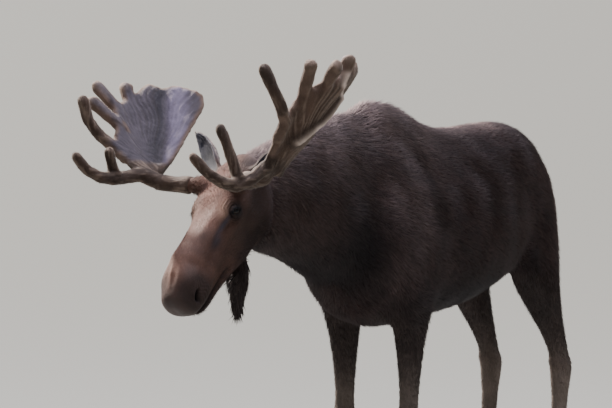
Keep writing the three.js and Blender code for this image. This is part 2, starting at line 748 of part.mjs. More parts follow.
let trunk = trunkAndLegs;
for (const [side, name] of sideNames) {
  const lag = side === RIGHT ? RIGHT_FORELEG_LAG : 0;
  const fore = { stations: FORELEG, cut: FORE_CUT, jointHeight: KNEE_HEIGHT, lag };
  const hind = { stations: HINDLEG, cut: HIND_CUT, jointHeight: HOCK_HEIGHT, lag: 0 };
  trunk = addLeg(trunk, `foreleg_${name}`, side, fore);
  trunk = addLeg(trunk, `hindleg_${name}`, side, hind);
}
addNode('trunk', trunk, 'coat');

// The origin is on the floor, under the middle of the whole animal.
const bounds = new THREE.Box3().setFromObject(moose);
const middle = bounds.getCenter(new THREE.Vector3());
moose.position.set(-middle.x, -middle.y, -bounds.min.z);

export default moose;
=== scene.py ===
# A life-size bull moose in summer velvet, browsing, on a plain pale floor in soft studio light.
# The CAD solids reach to the tips of the coat: here one skin lies inside them and tufts grow on it.

import math

import bpy
import numpy as np
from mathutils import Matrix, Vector
from mathutils.bvhtree import BVHTree
from mathutils.kdtree import KDTree


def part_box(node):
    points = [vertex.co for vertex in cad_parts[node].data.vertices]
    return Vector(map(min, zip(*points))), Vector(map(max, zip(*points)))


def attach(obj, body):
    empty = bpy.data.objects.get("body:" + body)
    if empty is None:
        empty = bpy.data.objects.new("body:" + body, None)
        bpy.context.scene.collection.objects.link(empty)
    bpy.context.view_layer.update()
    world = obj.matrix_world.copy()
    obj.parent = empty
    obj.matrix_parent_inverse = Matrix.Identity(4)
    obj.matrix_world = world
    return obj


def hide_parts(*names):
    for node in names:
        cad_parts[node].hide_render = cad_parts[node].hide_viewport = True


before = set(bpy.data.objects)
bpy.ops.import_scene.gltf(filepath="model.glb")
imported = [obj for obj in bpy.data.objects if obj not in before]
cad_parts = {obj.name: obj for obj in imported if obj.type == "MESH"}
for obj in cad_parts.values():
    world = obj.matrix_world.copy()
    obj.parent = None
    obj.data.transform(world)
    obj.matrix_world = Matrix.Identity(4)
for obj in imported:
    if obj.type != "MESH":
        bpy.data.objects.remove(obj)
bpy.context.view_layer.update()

# ---------------------------------------------------------------- floor, light and camera
# The animal stands on a wide pale floor. A window, high behind its head, grazes the face, the
# antlers' rims and the back; a large panel overhead and the light in the air fill the rest.

HUMP_BACK = 0.362  # how far the hump lies behind the front of the trunk
trunk_low, trunk_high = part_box("trunk")
MIDDLE_Y = (trunk_low.y + trunk_high.y) / 2
HUMP = Vector((trunk_low.x + HUMP_BACK, MIDDLE_Y, trunk_high.z))

VIEW_AZIMUTH, VIEW_ELEVATION = math.radians(-59), math.radians(4.5)
VIEW_DISTANCE, VIEW_LENS = 20.0, 294
# Places are told from the hump as the camera sees them: to the right, up, and back towards it.
AIM = (-0.275, -0.43, 0)
WINDOW_PLACE, WINDOW_STRENGTH, WINDOW_COLOUR = (-4.6, 5.2, -4.4), 15.0, (1.0, 0.93, 0.86)
PANEL_PLACE, PANEL_STRENGTH, PANEL_COLOUR = (0.3, 5.0, 0.8), 820, (0.88, 0.89, 1.0)
WINDOW_ANGLE, PANEL_SIZE = math.radians(5), 5.0
AIR_STRENGTH, AIR_COLOUR = 0.27, (0.80, 0.86, 0.95, 1)
FLOOR_SIZE, FLOOR_COLOUR = 900, (0.18, 0.185, 0.18, 1)

view_back = Vector((
    math.sin(VIEW_AZIMUTH) * math.cos(VIEW_ELEVATION),
    -math.cos(VIEW_AZIMUTH) * math.cos(VIEW_ELEVATION),
    math.sin(VIEW_ELEVATION),
))
view_right = Vector((math.cos(VIEW_AZIMUTH), math.sin(VIEW_AZIMUTH), 0))
view_up = view_back.cross(view_right)


def place_in_view(right, up, back):
    return HUMP + view_right * right + view_up * up + view_back * back


bpy.ops.object.camera_add(location=place_in_view(*AIM) + view_back * VIEW_DISTANCE)
camera = bpy.context.object
camera.name = "camera"
camera.rotation_euler = view_back.to_track_quat("Z", "Y").to_euler()
camera.data.lens = VIEW_LENS
camera.data.clip_end = 100
bpy.context.scene.camera = camera


def lamp_at(name, kind, place, strength, colour):
    """A lamp turned towards the shoulders."""
    bpy.ops.object.light_add(type=kind, location=place)
    lamp = bpy.context.object
    lamp.name = name
    lamp.rotation_euler = (place - HUMP).to_track_quat("Z", "Y").to_euler()
    lamp.data.energy = strength
    lamp.data.color = colour
    return lamp.data


window = lamp_at("window", "SUN", place_in_view(*WINDOW_PLACE), WINDOW_STRENGTH, WINDOW_COLOUR)
window.angle = WINDOW_ANGLE
panel = lamp_at("overhead_panel", "AREA", place_in_view(*PANEL_PLACE), PANEL_STRENGTH, PANEL_COLOUR)
panel.size = PANEL_SIZE

world = bpy.data.worlds.new("studio_air")
world.use_nodes = True
air = world.node_tree.nodes["Background"].inputs
air["Color"].default_value = AIR_COLOUR
air["Strength"].default_value = AIR_STRENGTH
bpy.context.scene.world = world

bpy.ops.mesh.primitive_plane_add(size=FLOOR_SIZE, location=(HUMP.x, HUMP.y, 0))
floor = bpy.context.object
floor.name = "floor"
floor_finish = bpy.data.materials.new("pale_floor")
floor_finish.use_nodes = True
floor_shader = floor_finish.node_tree.nodes["Principled BSDF"].inputs
floor_shader["Base Color"].default_value = FLOOR_COLOUR
floor_shader["Roughness"].default_value = 0.9
floor.data.materials.append(floor_finish)

# ---------------------------------------------------------------- skin
# One hide covers the body, the head, the ears and the legs with no seam. It is made from copies of
# the flesh nodes melted together, smoothed over the muscles, and drawn in by the depth of the coat.

SIGNS = {"left": 1, "right": -1}
LEGS = [f"{pair}_{side}" for pair in ("foreleg", "hindleg") for side in SIGNS]
FLESH = ["trunk", "neck", "head", "lower_jaw", "bell", "tail", "ear_left", "ear_right"]
FLESH += [f"{leg}_{part}" for leg in LEGS for part in ("upper", "lower")]
# These are melted in too, so that the hide runs on under the antlers and behind the eyes.
BURIED = ["antler_left_beam", "antler_right_beam", "eye_left", "eye_right"]


def select_only(*pieces):
    bpy.ops.object.select_all(action="DESELECT")
    for piece in pieces:
        piece.select_set(True)
    bpy.context.view_layer.objects.active = pieces[0]


def copied(nodes, name):
    """One object made of copies of CAD nodes, each merged from its loose triangles."""
    copies = []
    for node in nodes:
        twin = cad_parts[node].copy()
        twin.data = twin.data.copy()
        twin.parent = None
        for key in list(twin.keys()):
            del twin[key]
        bpy.context.scene.collection.objects.link(twin)
        copies.append(twin)
    select_only(*copies)
    if len(copies) > 1:
        bpy.ops.object.join()
    piece = bpy.context.object
    piece.name = name
    piece.data.name = name
    piece.data.materials.clear()
    while piece.data.uv_layers:
        piece.data.uv_layers.remove(piece.data.uv_layers[0])
    bpy.ops.object.mode_set(mode="EDIT")
    bpy.ops.mesh.select_all(action="SELECT")
    bpy.ops.mesh.remove_doubles(threshold=1e-5)
    bpy.ops.object.mode_set(mode="OBJECT")
    return piece


def shaped(piece, kind, **settings):
    """Adds a modifier with its settings and applies it."""
    select_only(piece)
    modifier = piece.modifiers.new(kind.title(), kind)
    for key, value in settings.items():
        setattr(modifier, key, value)
    bpy.ops.object.modifier_apply(modifier=modifier.name)


def read(collection, field, width, kind=np.float32):
    flat = np.empty(len(collection) * width, kind)
    collection.foreach_get(field, flat)
    return flat.reshape(-1, width) if width > 1 else flat


def points_of(piece):
    return read(piece.data.vertices, "co", 3).astype(float)


def normals_of(piece):
    return read(piece.data.vertex_normals, "vector", 3).astype(float)


def edges_of(piece):
    return read(piece.data.edges, "vertices", 2, np.int32)


def move_points(piece, points):
    piece.data.vertices.foreach_set("co", points.astype(np.float32).ravel())
    piece.data.update()


def relaxed(values, edges, share, rounds):
    """Draws each row of values towards the mean of its neighbours, by its share, round after round."""
    start, end = edges.T
    rows = len(values)
    count = np.maximum(np.bincount(edges.ravel(), minlength=rows), 1)
    share = np.broadcast_to(share, rows)[:, None]
    for _ in range(rounds):
        near = np.stack([
            np.bincount(start, column[end], rows) + np.bincount(end, column[start], rows)
            for column in values.T
        ], 1)
        values = values + share * (near / count[:, None] - values)
    return values


def step(low, high, value):
    """Rises smoothly from 0 at low to 1 at high."""
    t = np.clip((value - low) / (high - low), 0, 1)
    return t * t * (3 - 2 * t)


def surface_of(nodes):
    """A search tree over CAD nodes, and which of them each of its faces is from."""
    corners, faces, owner = [], [], []
    for index, node in enumerate(nodes):
        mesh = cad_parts[node].data
        mesh.calc_loop_triangles()
        faces += (read(mesh.loop_triangles, "vertices", 3, np.int32) + len(corners)).tolist()
        owner += [index] * len(mesh.loop_triangles)
        corners += read(mesh.vertices, "co", 3).tolist()
    return BVHTree.FromPolygons(corners, faces), owner


# The regions, which differ in hair and in how far the smoothing may go.
REGIONS = {
    "trunk": ["trunk"],
    "neck": ["neck"],
    "head": ["head"],
    "jaw": ["lower_jaw"],
    "bell": ["bell"],
    "tail": ["tail"],
    "ear": ["ear_left", "ear_right"],
    "upper": [f"{leg}_upper" for leg in LEGS],
    "lower": [f"{leg}_lower" for leg in LEGS],
    "buried": BURIED,
}
node_names = [node for nodes in REGIONS.values() for node in nodes]
node_region = [index for index, nodes in enumerate(REGIONS.values()) for _ in nodes]
flesh_tree, flesh_owner = surface_of(node_names)


def region_shares(points, edges, rounds):
    """How far each point belongs to each region, blended over their borders."""
    hard = np.zeros((len(points), len(REGIONS)))
    for row, point in enumerate(points.tolist()):
        face = flesh_tree.find_nearest(point)[2]
        hard[row, node_region[flesh_owner[face]]] = 1
    soft = relaxed(hard, edges, 0.5, rounds)
    return dict(zip(REGIONS, soft.T))


SKIN_GRAIN = 0.0075
SKIN_KEPT = 0.34  # the share of its faces that the skin keeps
SMOOTHING = {"trunk": 1.0, "neck": 0.9, "upper": 0.45, "head": 0.14, "jaw": 0.16, "bell": 0.1,
             "tail": 0.1, "lower": 0.12, "ear": 0.03, "buried": 0.05}

skin = copied(FLESH + BURIED, "skin")
shaped(skin, "REMESH", mode="VOXEL", voxel_size=SKIN_GRAIN)
points = points_of(skin)
edges = edges_of(skin)
region = region_shares(points, edges, 8)
freedom = sum(share * region[name] for name, share in SMOOTHING.items())
move_points(skin, relaxed(points, edges, 0.5 * freedom, 90))

# The broad flanks need fewer faces than the head.
broad = skin.vertex_groups.new(name="broad")
spare = region["trunk"] + region["neck"] + region["upper"] + 0.6 * region["lower"]
for level in range(1, 11):
    rows = np.nonzero(np.round(spare * 10) == level)[0]
    broad.add(rows.tolist(), level / 10, "REPLACE")
shaped(skin, "DECIMATE", ratio=SKIN_KEPT, vertex_group="broad")

# The head has a frame of its own: along the face from the poll, out to the left, up from the face.
HEAD_PITCH = math.radians(52)
EYE_ALONG, EYE_UP, EYE_SIDE = 0.230, -0.002, 0.101

eyes = {side: sum(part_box(f"eye_{side}"), Vector()) / 2 for side in SIGNS}
head_left = (eyes["left"] - eyes["right"]).normalized()
head_forward = Vector((head_left.y, -head_left.x, 0)).normalized()
head_level = head_forward.cross(head_left)
head_along = head_forward * math.cos(HEAD_PITCH) - head_level * math.sin(HEAD_PITCH)
head_up = head_forward * math.sin(HEAD_PITCH) + head_level * math.cos(HEAD_PITCH)
poll = (eyes["left"] + eyes["right"]) / 2 - head_along * EYE_ALONG - head_up * EYE_UP
HEAD_AXES = np.array([head_along, head_left, head_up])
POLL = np.array(poll)


def in_head(points):
    return (points - POLL) @ HEAD_AXES.T


def from_head(told):
    return told @ HEAD_AXES + POLL


def folded(places):
    """Both sides laid over each other: outward counts alike to the left and to the right."""
    return np.stack([places[:, 0], np.abs(places[:, 1]), places[:, 2]], 1)


def in_body(points):
    """Back from the hump, out from the middle, and the height."""
    return folded(points - (HUMP.x, MIDDLE_Y, 0))


def eye_offset(told):
    """From the nearer eye's centre, in the head's frame."""
    return folded(told) - (EYE_ALONG, EYE_SIDE, EYE_UP)


def eye_distance(told):
    return np.linalg.norm(eye_offset(told), axis=1)


def refine(piece, wanted):
    """Cuts each edge of the wanted faces in two. Wanted is told where they are on the head."""
    select_only(piece)
    told = in_head(read(piece.data.polygons, "center", 3).astype(float))
    bpy.ops.object.mode_set(mode="EDIT")
    bpy.ops.mesh.select_mode(type="FACE")
    bpy.ops.mesh.select_all(action="DESELECT")
    bpy.ops.object.mode_set(mode="OBJECT")
    piece.data.polygons.foreach_set("select", wanted(told))
    bpy.ops.object.mode_set(mode="EDIT")
    bpy.ops.mesh.subdivide(number_cuts=1)
    bpy.ops.object.mode_set(mode="OBJECT")


# Where the head needs finer faces: balls around the eyes, then boxes around muzzle and nostrils.
FINE_BALLS = (0.085, 0.052, 0.034)
FINE_BOXES = [[(0.50, 0, -0.15), (1, 0.12, 1)], [(0.565, 0.025, -0.08), (1, 1, 0.05)]]
for reach in FINE_BALLS:
    refine(skin, lambda told: eye_distance(told) < reach)
for low, high in FINE_BOXES:
    refine(skin, lambda told: ((folded(told) > low) & (folded(told) < high)).all(1))

# How deep the coat is over each region, from the skin to its tips.
COAT_DEPTH = {"trunk": 0.015, "neck": 0.015, "upper": 0.011, "head": 0.0045, "jaw": 0.006, "bell": 0.011,
              "tail": 0.012, "lower": 0.005, "ear": 0.0025, "buried": 0.008}
points = points_of(skin)
edges = edges_of(skin)
region = region_shares(points, edges, 10)
told = in_head(points)
by_eye = eye_distance(told) < 0.055
region["head"] += region["buried"] * by_eye
region["buried"] = region["buried"] * ~by_eye
muzzle = region["head"] * step(0.48, 0.60, told[:, 0])
depth = sum(value * region[name] for name, value in COAT_DEPTH.items()) - 0.003 * muzzle
points = points - normals_of(skin) * depth[:, None]

# Muscles and hollows: [back from the hump, out from the middle, height], [reach along, out, up],
# and how far the hide swells (or sinks).
FORMS = [
    [[-0.10, 0.20, 1.62], [0.05, 0.12, 0.16], 0.010],  # spine of the shoulder blade
    [[-0.19, 0.27, 1.42], [0.06, 0.12, 0.16], 0.010],
    [[-0.30, 0.24, 1.22], [0.09, 0.12, 0.10], 0.014],  # point of the shoulder
    [[-0.02, 0.31, 1.36], [0.10, 0.12, 0.16], 0.014],  # muscle behind the upper arm
    [[-0.28, 0.20, 1.50], [0.06, 0.12, 0.16], -0.014],  # hollow between neck and shoulder
    [[0.17, 0.33, 1.28], [0.045, 0.14, 0.26], -0.017],  # groove behind the shoulder
    [[0.05, 0.27, 1.04], [0.06, 0.10, 0.07], 0.012],  # elbow
    [[0.45, 0.34, 1.22], [0.26, 0.12, 0.22], 0.008],  # ribs
    [[0.84, 0.29, 1.40], [0.10, 0.12, 0.13], -0.020],  # hollow of the flank
    [[0.86, 0.24, 1.62], [0.07, 0.10, 0.05], 0.014],  # point of the hip
    [[1.05, 0.25, 1.36], [0.12, 0.12, 0.17], 0.012],  # thigh
    [[0.88, 0.27, 1.10], [0.08, 0.10, 0.09], 0.012],  # stifle
    [[1.115, 0.22, 1.28], [0.028, 0.12, 0.20], -0.012],  # groove down the haunch
    [[0.00, 0.00, 0.93], [0.16, 0.10, 0.06], 0.010],  # brisket
]


def swelling(places, forms):
    """How far the forms push each place: by their amounts at their centres, fading over their reach."""
    pushes = np.zeros(len(places))
    for centre, reach, amount in forms:
        pushes = pushes + amount * np.exp(-(((places - centre) / reach) ** 2).sum(1))
    return pushes


pushes = swelling(in_body(points), FORMS)
body_share = 1 - np.clip(region["head"] + region["jaw"] + region["ear"] + region["buried"], 0, 1)
points = points + normals_of(skin) * (pushes * body_share)[:, None]
softened = np.clip(region["trunk"] + region["neck"] + region["upper"], 0, 1)
points = relaxed(points, edges, 0.35 * softened, 3)
points[:, 2] = np.maximum(points[:, 2], 0.02)
move_points(skin, points)

# ---------------------------------------------------------------- face
# The face is worked into the hide as a sculptor would: brow, cheek and lips are raised, and the
# nostrils, the mouth, the tear pits and the lids' openings are pressed in.

EYE_TILT = math.radians(30)  # the lids' corners lie flatter than the line of the face
EYE_OUT = np.array([0.24, 0.92, 0.31])  # the eyes look outward, a little forward and upward
LID_RADIUS = 0.0245
LID_HALF, LID_RISE, LID_DROP = 0.0200, 0.0125, 0.0105  # how far the lids open along, up and down
LID_ROLL = 0.0016

# [along, out to the side, up] from the poll, [reach], how far the hide swells (or sinks).
FACE_FORMS = [
    [[0.205, 0.104, 0.044], [0.050, 0.034, 0.016], 0.0095],  # brow
    [[0.262, 0.100, 0.026], [0.030, 0.034, 0.014], 0.0045],
    [[0.290, 0.098, -0.042], [0.095, 0.034, 0.017], 0.0090],  # cheek bone
    [[0.297, 0.104, -0.012], [0.022, 0.030, 0.006], -0.0065],  # tear pit
    [[0.350, 0.090, 0.010], [0.045, 0.034, 0.008], -0.0045],
    [[0.410, 0.085, -0.012], [0.080, 0.040, 0.026], -0.0110],  # hollow beside the nose
    [[0.440, 0.075, -0.085], [0.090, 0.045, 0.020], -0.0060],  # hollow above the lip
    [[0.160, 0.105, -0.130], [0.085, 0.045, 0.055], 0.0110],  # chewing muscle
    [[0.250, 0.100, -0.120], [0.030, 0.040, 0.050], -0.0050],  # step in front of it
    [[0.130, 0.110, 0.004], [0.045, 0.034, 0.022], -0.0090],  # temple
    [[0.235, 0.000, 0.060], [0.060, 0.040, 0.030], -0.0060],  # dip of the forehead
    [[0.330, 0.045, 0.055], [0.070, 0.018, 0.030], 0.0045],  # edge of the nose
    [[0.572, 0.066, 0.036], [0.042, 0.028, 0.036], 0.0095],  # wing of the nostril
    [[0.505, 0.066, 0.050], [0.022, 0.030, 0.040], -0.0050],  # crease behind the wing
    [[0.575, 0.018, 0.085], [0.060, 0.016, 0.030], -0.0040],  # groove between the wings
    [[0.590, 0.085, -0.062], [0.060, 0.040, 0.022], 0.0080],  # upper lip
    [[0.520, 0.085, -0.050], [0.050, 0.040, 0.020], 0.0040],
    [[0.655, 0.000, -0.030], [0.020, 0.012, 0.060], -0.0050],  # groove between the nostrils
    [[0.590, 0.000, -0.140], [0.045, 0.045, 0.030], 0.0080],  # chin
]
NOSTRIL_ALONG, NOSTRIL_UP, NOSTRIL_TILT = 0.606, -0.020, math.radians(-36)
NOSTRIL_LENGTH, NOSTRIL_WIDTH, NOSTRIL_DEPTH, NOSTRIL_RIM = 0.024, 0.0095, 0.024, 0.0055
# Two places on the line of the mouth, along and up from the poll, and where along it the lips part.
MOUTH_FRONT, MOUTH_BACK = (0.634, -0.094), (0.180, -0.136)
MOUTH_CORNER, MOUTH_DEPTH = 0.42, 0.009
BROW_FOLD, LIP_CREASE = 0.0026, 0.0008


def turned(first, second, angle):
    """Two coordinates in a frame turned by an angle."""
    along = first * math.cos(angle) + second * math.sin(angle)
    return along, second * math.cos(angle) - first * math.sin(angle)


EYE_OUT /= np.linalg.norm(EYE_OUT)
LID_LINE = np.cross([-math.sin(EYE_TILT), 0, math.cos(EYE_TILT)], EYE_OUT)
LID_LINE *= -1 / np.linalg.norm(LID_LINE)
LID_ACROSS = np.cross(LID_LINE, EYE_OUT)
LID_ACROSS *= np.sign(LID_ACROSS[2])


def eye_frame(told):
    """Along the lids, up across them, and outward, from the nearer eye's centre."""
    return (eye_offset(told) @ np.stack([LID_LINE, LID_ACROSS, EYE_OUT], 1)).T


def lids_opening(along, up):
    """How far inside the lids' edges a place is, in metres, and below 0 outside them."""
    bow = 1 - (along / LID_HALF) ** 2
    return np.minimum(LID_RISE * bow - up, up + LID_DROP * bow)


def nostril_shape(told):
    """1 in the middle of the slanting comma of a nostril, and its raised rim above."""
    slot, across = turned(told[:, 0] - NOSTRIL_ALONG, told[:, 2] - NOSTRIL_UP, NOSTRIL_TILT)
    across = across + 11 * slot ** 2
    side = step(0.02, 0.045, np.abs(told[:, 1]))
    width = NOSTRIL_WIDTH * (1 + 14 * slot)
    pit = np.exp(-(slot / NOSTRIL_LENGTH) ** 4 - (across / width) ** 2) * side
    rim = np.exp(-(slot / 0.028) ** 2 - ((across - 0.018) / 0.009) ** 2) * side
    return pit, rim


def mouth_height(told):
    """Height above the line of the mouth."""
    slope = (MOUTH_FRONT[1] - MOUTH_BACK[1]) / (MOUTH_FRONT[0] - MOUTH_BACK[0])
    return told[:, 2] - MOUTH_BACK[1] - slope * (told[:, 0] - MOUTH_BACK[0])


def brow_folds(told):
    """Folds of hide that ring the upper side of the eye, and a fainter one below it."""
    along, up, outward = eye_frame(told)
    bearing = np.arctan2(up, along)
    ring = np.hypot(along, up * 1.1) * (1 + 0.05 * np.sin(2.6 * bearing + 0.5) + 0.03 * np.sin(7 * bearing))
    above = np.exp(-((bearing - math.radians(68)) / math.radians(52)) ** 4)
    below = 0.4 * np.exp(-((bearing + math.radians(80)) / math.radians(50)) ** 4)
    wave = np.cos((ring - 0.0300) / 0.0095 * 2 * math.pi)
    return wave * step(0.024, 0.032, ring) * (1 - step(0.048, 0.066, ring)) * (above + below)


points = points_of(skin)
told = in_head(points)
facing = normals_of(skin) @ HEAD_AXES.T
head_share = np.clip(region["head"] + region["jaw"], 0, 1)
out = np.abs(told[:, 1])
pushes = swelling(folded(told), FACE_FORMS)
pushes += BROW_FOLD * brow_folds(told) * step(0.030, 0.065, out)
creases = np.sin(told[:, 0] / 0.0165 * 2 * math.pi + 40 * told[:, 2] + 4 * np.sin(told[:, 2] / 0.010))
on_lip = step(0.505, 0.56, told[:, 0]) * (1 - step(0.60, 0.63, told[:, 0])) * (told[:, 2] < 0.0)
pushes += LIP_CREASE * creases * on_lip * step(0.03, 0.05, out)
mouth = np.exp(-(mouth_height(told) / 0.0060) ** 2)
mouth *= step(MOUTH_CORNER - 0.03, MOUTH_CORNER + 0.03, told[:, 0])
pushes -= MOUTH_DEPTH * mouth
told = told + facing * (pushes * head_share)[:, None]

pit, rim = nostril_shape(told)
side = np.sign(told[:, 1])
told[:, 1] += side * head_share * (NOSTRIL_RIM * rim - NOSTRIL_DEPTH * pit)

# The lids lie on the eyeball, and between them the hide turns in behind it.
along, up, outward = eye_frame(told)
ring = np.hypot(along, up)
near = (outward > -0.025) & (outward < 0.05) & (ring < 0.038)
lid = np.sqrt(np.maximum(LID_RADIUS ** 2 - ring ** 2, 0.004 ** 2))
blend = step(0.0215, 0.036, ring)
lidded = lid * (1 - blend) + outward * blend
opening = lids_opening(along, up)
lidded += LID_ROLL * np.exp(-((opening + 0.0022) / 0.0020) ** 2) * (ring < 0.03)
lidded -= LID_ROLL * np.exp(-((opening + 0.0085) / 0.0022) ** 2) * (up > 0) * (1 - blend)
inside = step(-0.0006, 0.0010, opening)
sunk = np.sqrt(np.maximum(0.0150 ** 2 - ring ** 2, 0.002 ** 2))
target = lidded * (1 - inside) + sunk * inside
shift = np.where(near, target - outward, 0)[:, None] * EYE_OUT
told += shift * np.stack([np.ones(len(side)), side, np.ones(len(side))], 1)
move_points(skin, from_head(told))
select_only(skin)
bpy.ops.object.shade_smooth()

# ---------------------------------------------------------------- colours of the hide
# The hide is painted region by region, point by point. The coat's tufts take their colours from
# the hide at their roots, so both carry the same markings.

# The back's pale strip and the hump's grey are partly a painted sheen of the lit top.
FLANK, BACK_SHEEN, BELLY_DARK_AND_SHADE = (0.043, 0.023, 0.020), (0.245, 0.160, 0.158), (0.014, 0.010, 0.011)
SHOULDER, RUMP, HUMP_GREY_AND_SHEEN = (0.128, 0.086, 0.082), (0.100, 0.062, 0.060), (0.270, 0.200, 0.205)
NAPE, NECK, THROAT_DARK_AND_SHADE = (0.130, 0.092, 0.092), (0.060, 0.036, 0.032), (0.011, 0.008, 0.008)
LEG_BROWN, LEG_GREY, FETLOCK = (0.050, 0.036, 0.032), (0.150, 0.118, 0.098), (0.085, 0.064, 0.053)
FACE, CHEEK, FOREHEAD_AND_HIGHLIGHT = (0.088, 0.043, 0.030), (0.050, 0.028, 0.021), (0.155, 0.080, 0.058)
NOSE_TAN_AND_HIGHLIGHT, MUZZLE, LIP = (0.120, 0.060, 0.043), (0.034, 0.020, 0.017), (0.055, 0.037, 0.034)
CHEEK_BACK = (0.036, 0.020, 0.015)
EYE_RIM, BROW_OCHRE_AND_HIGHLIGHT, TEAR_STREAK = (0.008, 0.007, 0.008), (0.210, 0.125, 0.090), (0.045, 0.043, 0.058)
EAR_BACK, EAR_INNER_AND_SHADE, EAR_RIM = (0.070, 0.046, 0.040), (0.019, 0.019, 0.031), (0.300, 0.250, 0.240)
BELL_BROWN, TAIL_BROWN, NOSTRIL_DARK_AND_SHADE = (0.028, 0.020, 0.019), (0.060, 0.043, 0.038), (0.008, 0.006, 0.006)

# [back from the hump, out from the middle, height], [reach], colour, how strongly it is laid on.
BODY_MARKS = [
    # Painted sheen: the hump's top and a strip along the back are laid on pale. The hump is partly its own
    # grey hair, and both are partly the sheen of the lit top.
    [[0.00, 0.00, 1.96], [0.34, 0.20, 0.16], HUMP_GREY_AND_SHEEN, 1.0],
    [[0.10, 0.16, 1.70], [0.20, 0.20, 0.14], SHOULDER, 0.6],
    [[0.68, 0.00, 1.84], [0.60, 0.17, 0.12], BACK_SHEEN, 1.0],
    [[1.12, 0.10, 1.50], [0.16, 0.22, 0.20], RUMP, 0.9],
    [[-0.18, 0.26, 1.36], [0.22, 0.16, 0.30], SHOULDER, 0.9],
    # Painted shade: a narrow dark band down the side behind the shoulder.
    [[0.03, 0.28, 1.42], [0.045, 0.14, 0.24], BELLY_DARK_AND_SHADE, 0.55],
    [[0.45, 0.25, 0.99], [0.66, 0.22, 0.16], BELLY_DARK_AND_SHADE, 0.95],
    [[1.10, 0.16, 1.22], [0.10, 0.14, 0.16], RUMP, 0.5],
]
# Painted shade at the front of the chest, where neck and shoulder meet, on trunk and neck alike.
CHEST_SHADE_MARKS = [[[-0.38, 0.18, 1.24], [0.13, 0.18, 0.22], THROAT_DARK_AND_SHADE, 1.0]]
# The same on the head, told from the poll.
HEAD_MARKS = [
    # The forehead and the ridge of the nose are paler: partly their own tan, partly a painted highlight
    # where light falls on them.
    [[0.20, 0.00, 0.06], [0.13, 0.075, 0.06], FOREHEAD_AND_HIGHLIGHT, 1.0],
    [[0.40, 0.02, 0.06], [0.16, 0.045, 0.05], NOSE_TAN_AND_HIGHLIGHT, 1.0],
    [[0.27, 0.11, -0.08], [0.16, 0.06, 0.07], CHEEK, 1.0],
    [[0.60, 0.07, -0.02], [0.085, 0.09, 0.10], MUZZLE, 1.3],
    # Painted highlight on the bump of the nose.
    [[0.53, 0.00, 0.08], [0.09, 0.035, 0.03], NOSE_TAN_AND_HIGHLIGHT, 0.8],
    [[0.68, 0.00, 0.00], [0.045, 0.07, 0.09], LIP, 0.9],
    [[0.62, 0.06, -0.115], [0.06, 0.07, 0.02], LIP, 0.5],
    # A pale patch on the brow above the eye: partly ochre hair, partly a painted highlight on the lit folds
    # of the brow.
    [[0.253, 0.09, 0.035], [0.035, 0.03, 0.018], BROW_OCHRE_AND_HIGHLIGHT, 0.9],
    [[0.315, 0.09, 0.010], [0.070, 0.03, 0.010], TEAR_STREAK, 0.75],
    [[0.375, 0.09, -0.004], [0.030, 0.03, 0.014], TEAR_STREAK, 0.75],
]
# The back of the cheek, where the face's brown ends: a place on it and the way forward from it.
CHEEK_END, CHEEK_WAY = (0.133, 0.0, -0.047), np.array((0.40, 0.0, 0.92))
# The way that the hollow of each ear faces: forward, left and up.
EAR_FACES = {"left": (0.50, 0.35, -0.80), "right": (0.80, 0.30, 0.10)}
random = np.random.default_rng(11)
WAVES = random.normal(size=(10, 3))
WAVES /= np.linalg.norm(WAVES, axis=1)[:, None]
PHASES = random.uniform(0, 2 * math.pi, 10)


def ripple(points, size):
    """A smooth irregular pattern between about -1 and 1, its patches about as wide as size."""
    return np.sin(points @ WAVES.T * (2 * math.pi / (size * 1.6)) + PHASES).sum(1) / 3.2


def plain_colour(colour, points):
    return np.tile(np.array(colour, float), (len(points), 1))


def laid_on(colour, layers):
    """Covers a colour with others, one after another, each by its own strength from 0 to 1."""
    for cover, strength in layers:
        colour = colour + np.clip(strength, 0, 1)[:, None] * (np.array(cover) - colour)
    return colour


def marked(colour, places, marks, share):
    """Lays on a list of marks, each fading over its reach."""
    for centre, reach, mark, strength in marks:
        nearness = np.exp(-(((places - centre) / reach) ** 2).sum(1))
        colour = laid_on(colour, [(mark, 1.25 * strength * nearness * share)])
    return colour


def ear_facing(points, normals):
    """1 where the hide looks the way that the ear's hollow faces, -1 on the ear's back."""
    level_axes = np.array([head_forward, head_left, head_level])
    ways = {side: np.array(way) @ level_axes for side, way in EAR_FACES.items()}
    looks = {side: normals @ (way / np.linalg.norm(way)) for side, way in ways.items()}
    return np.where(in_head(points)[:, 1] > 0, looks["left"], looks["right"])


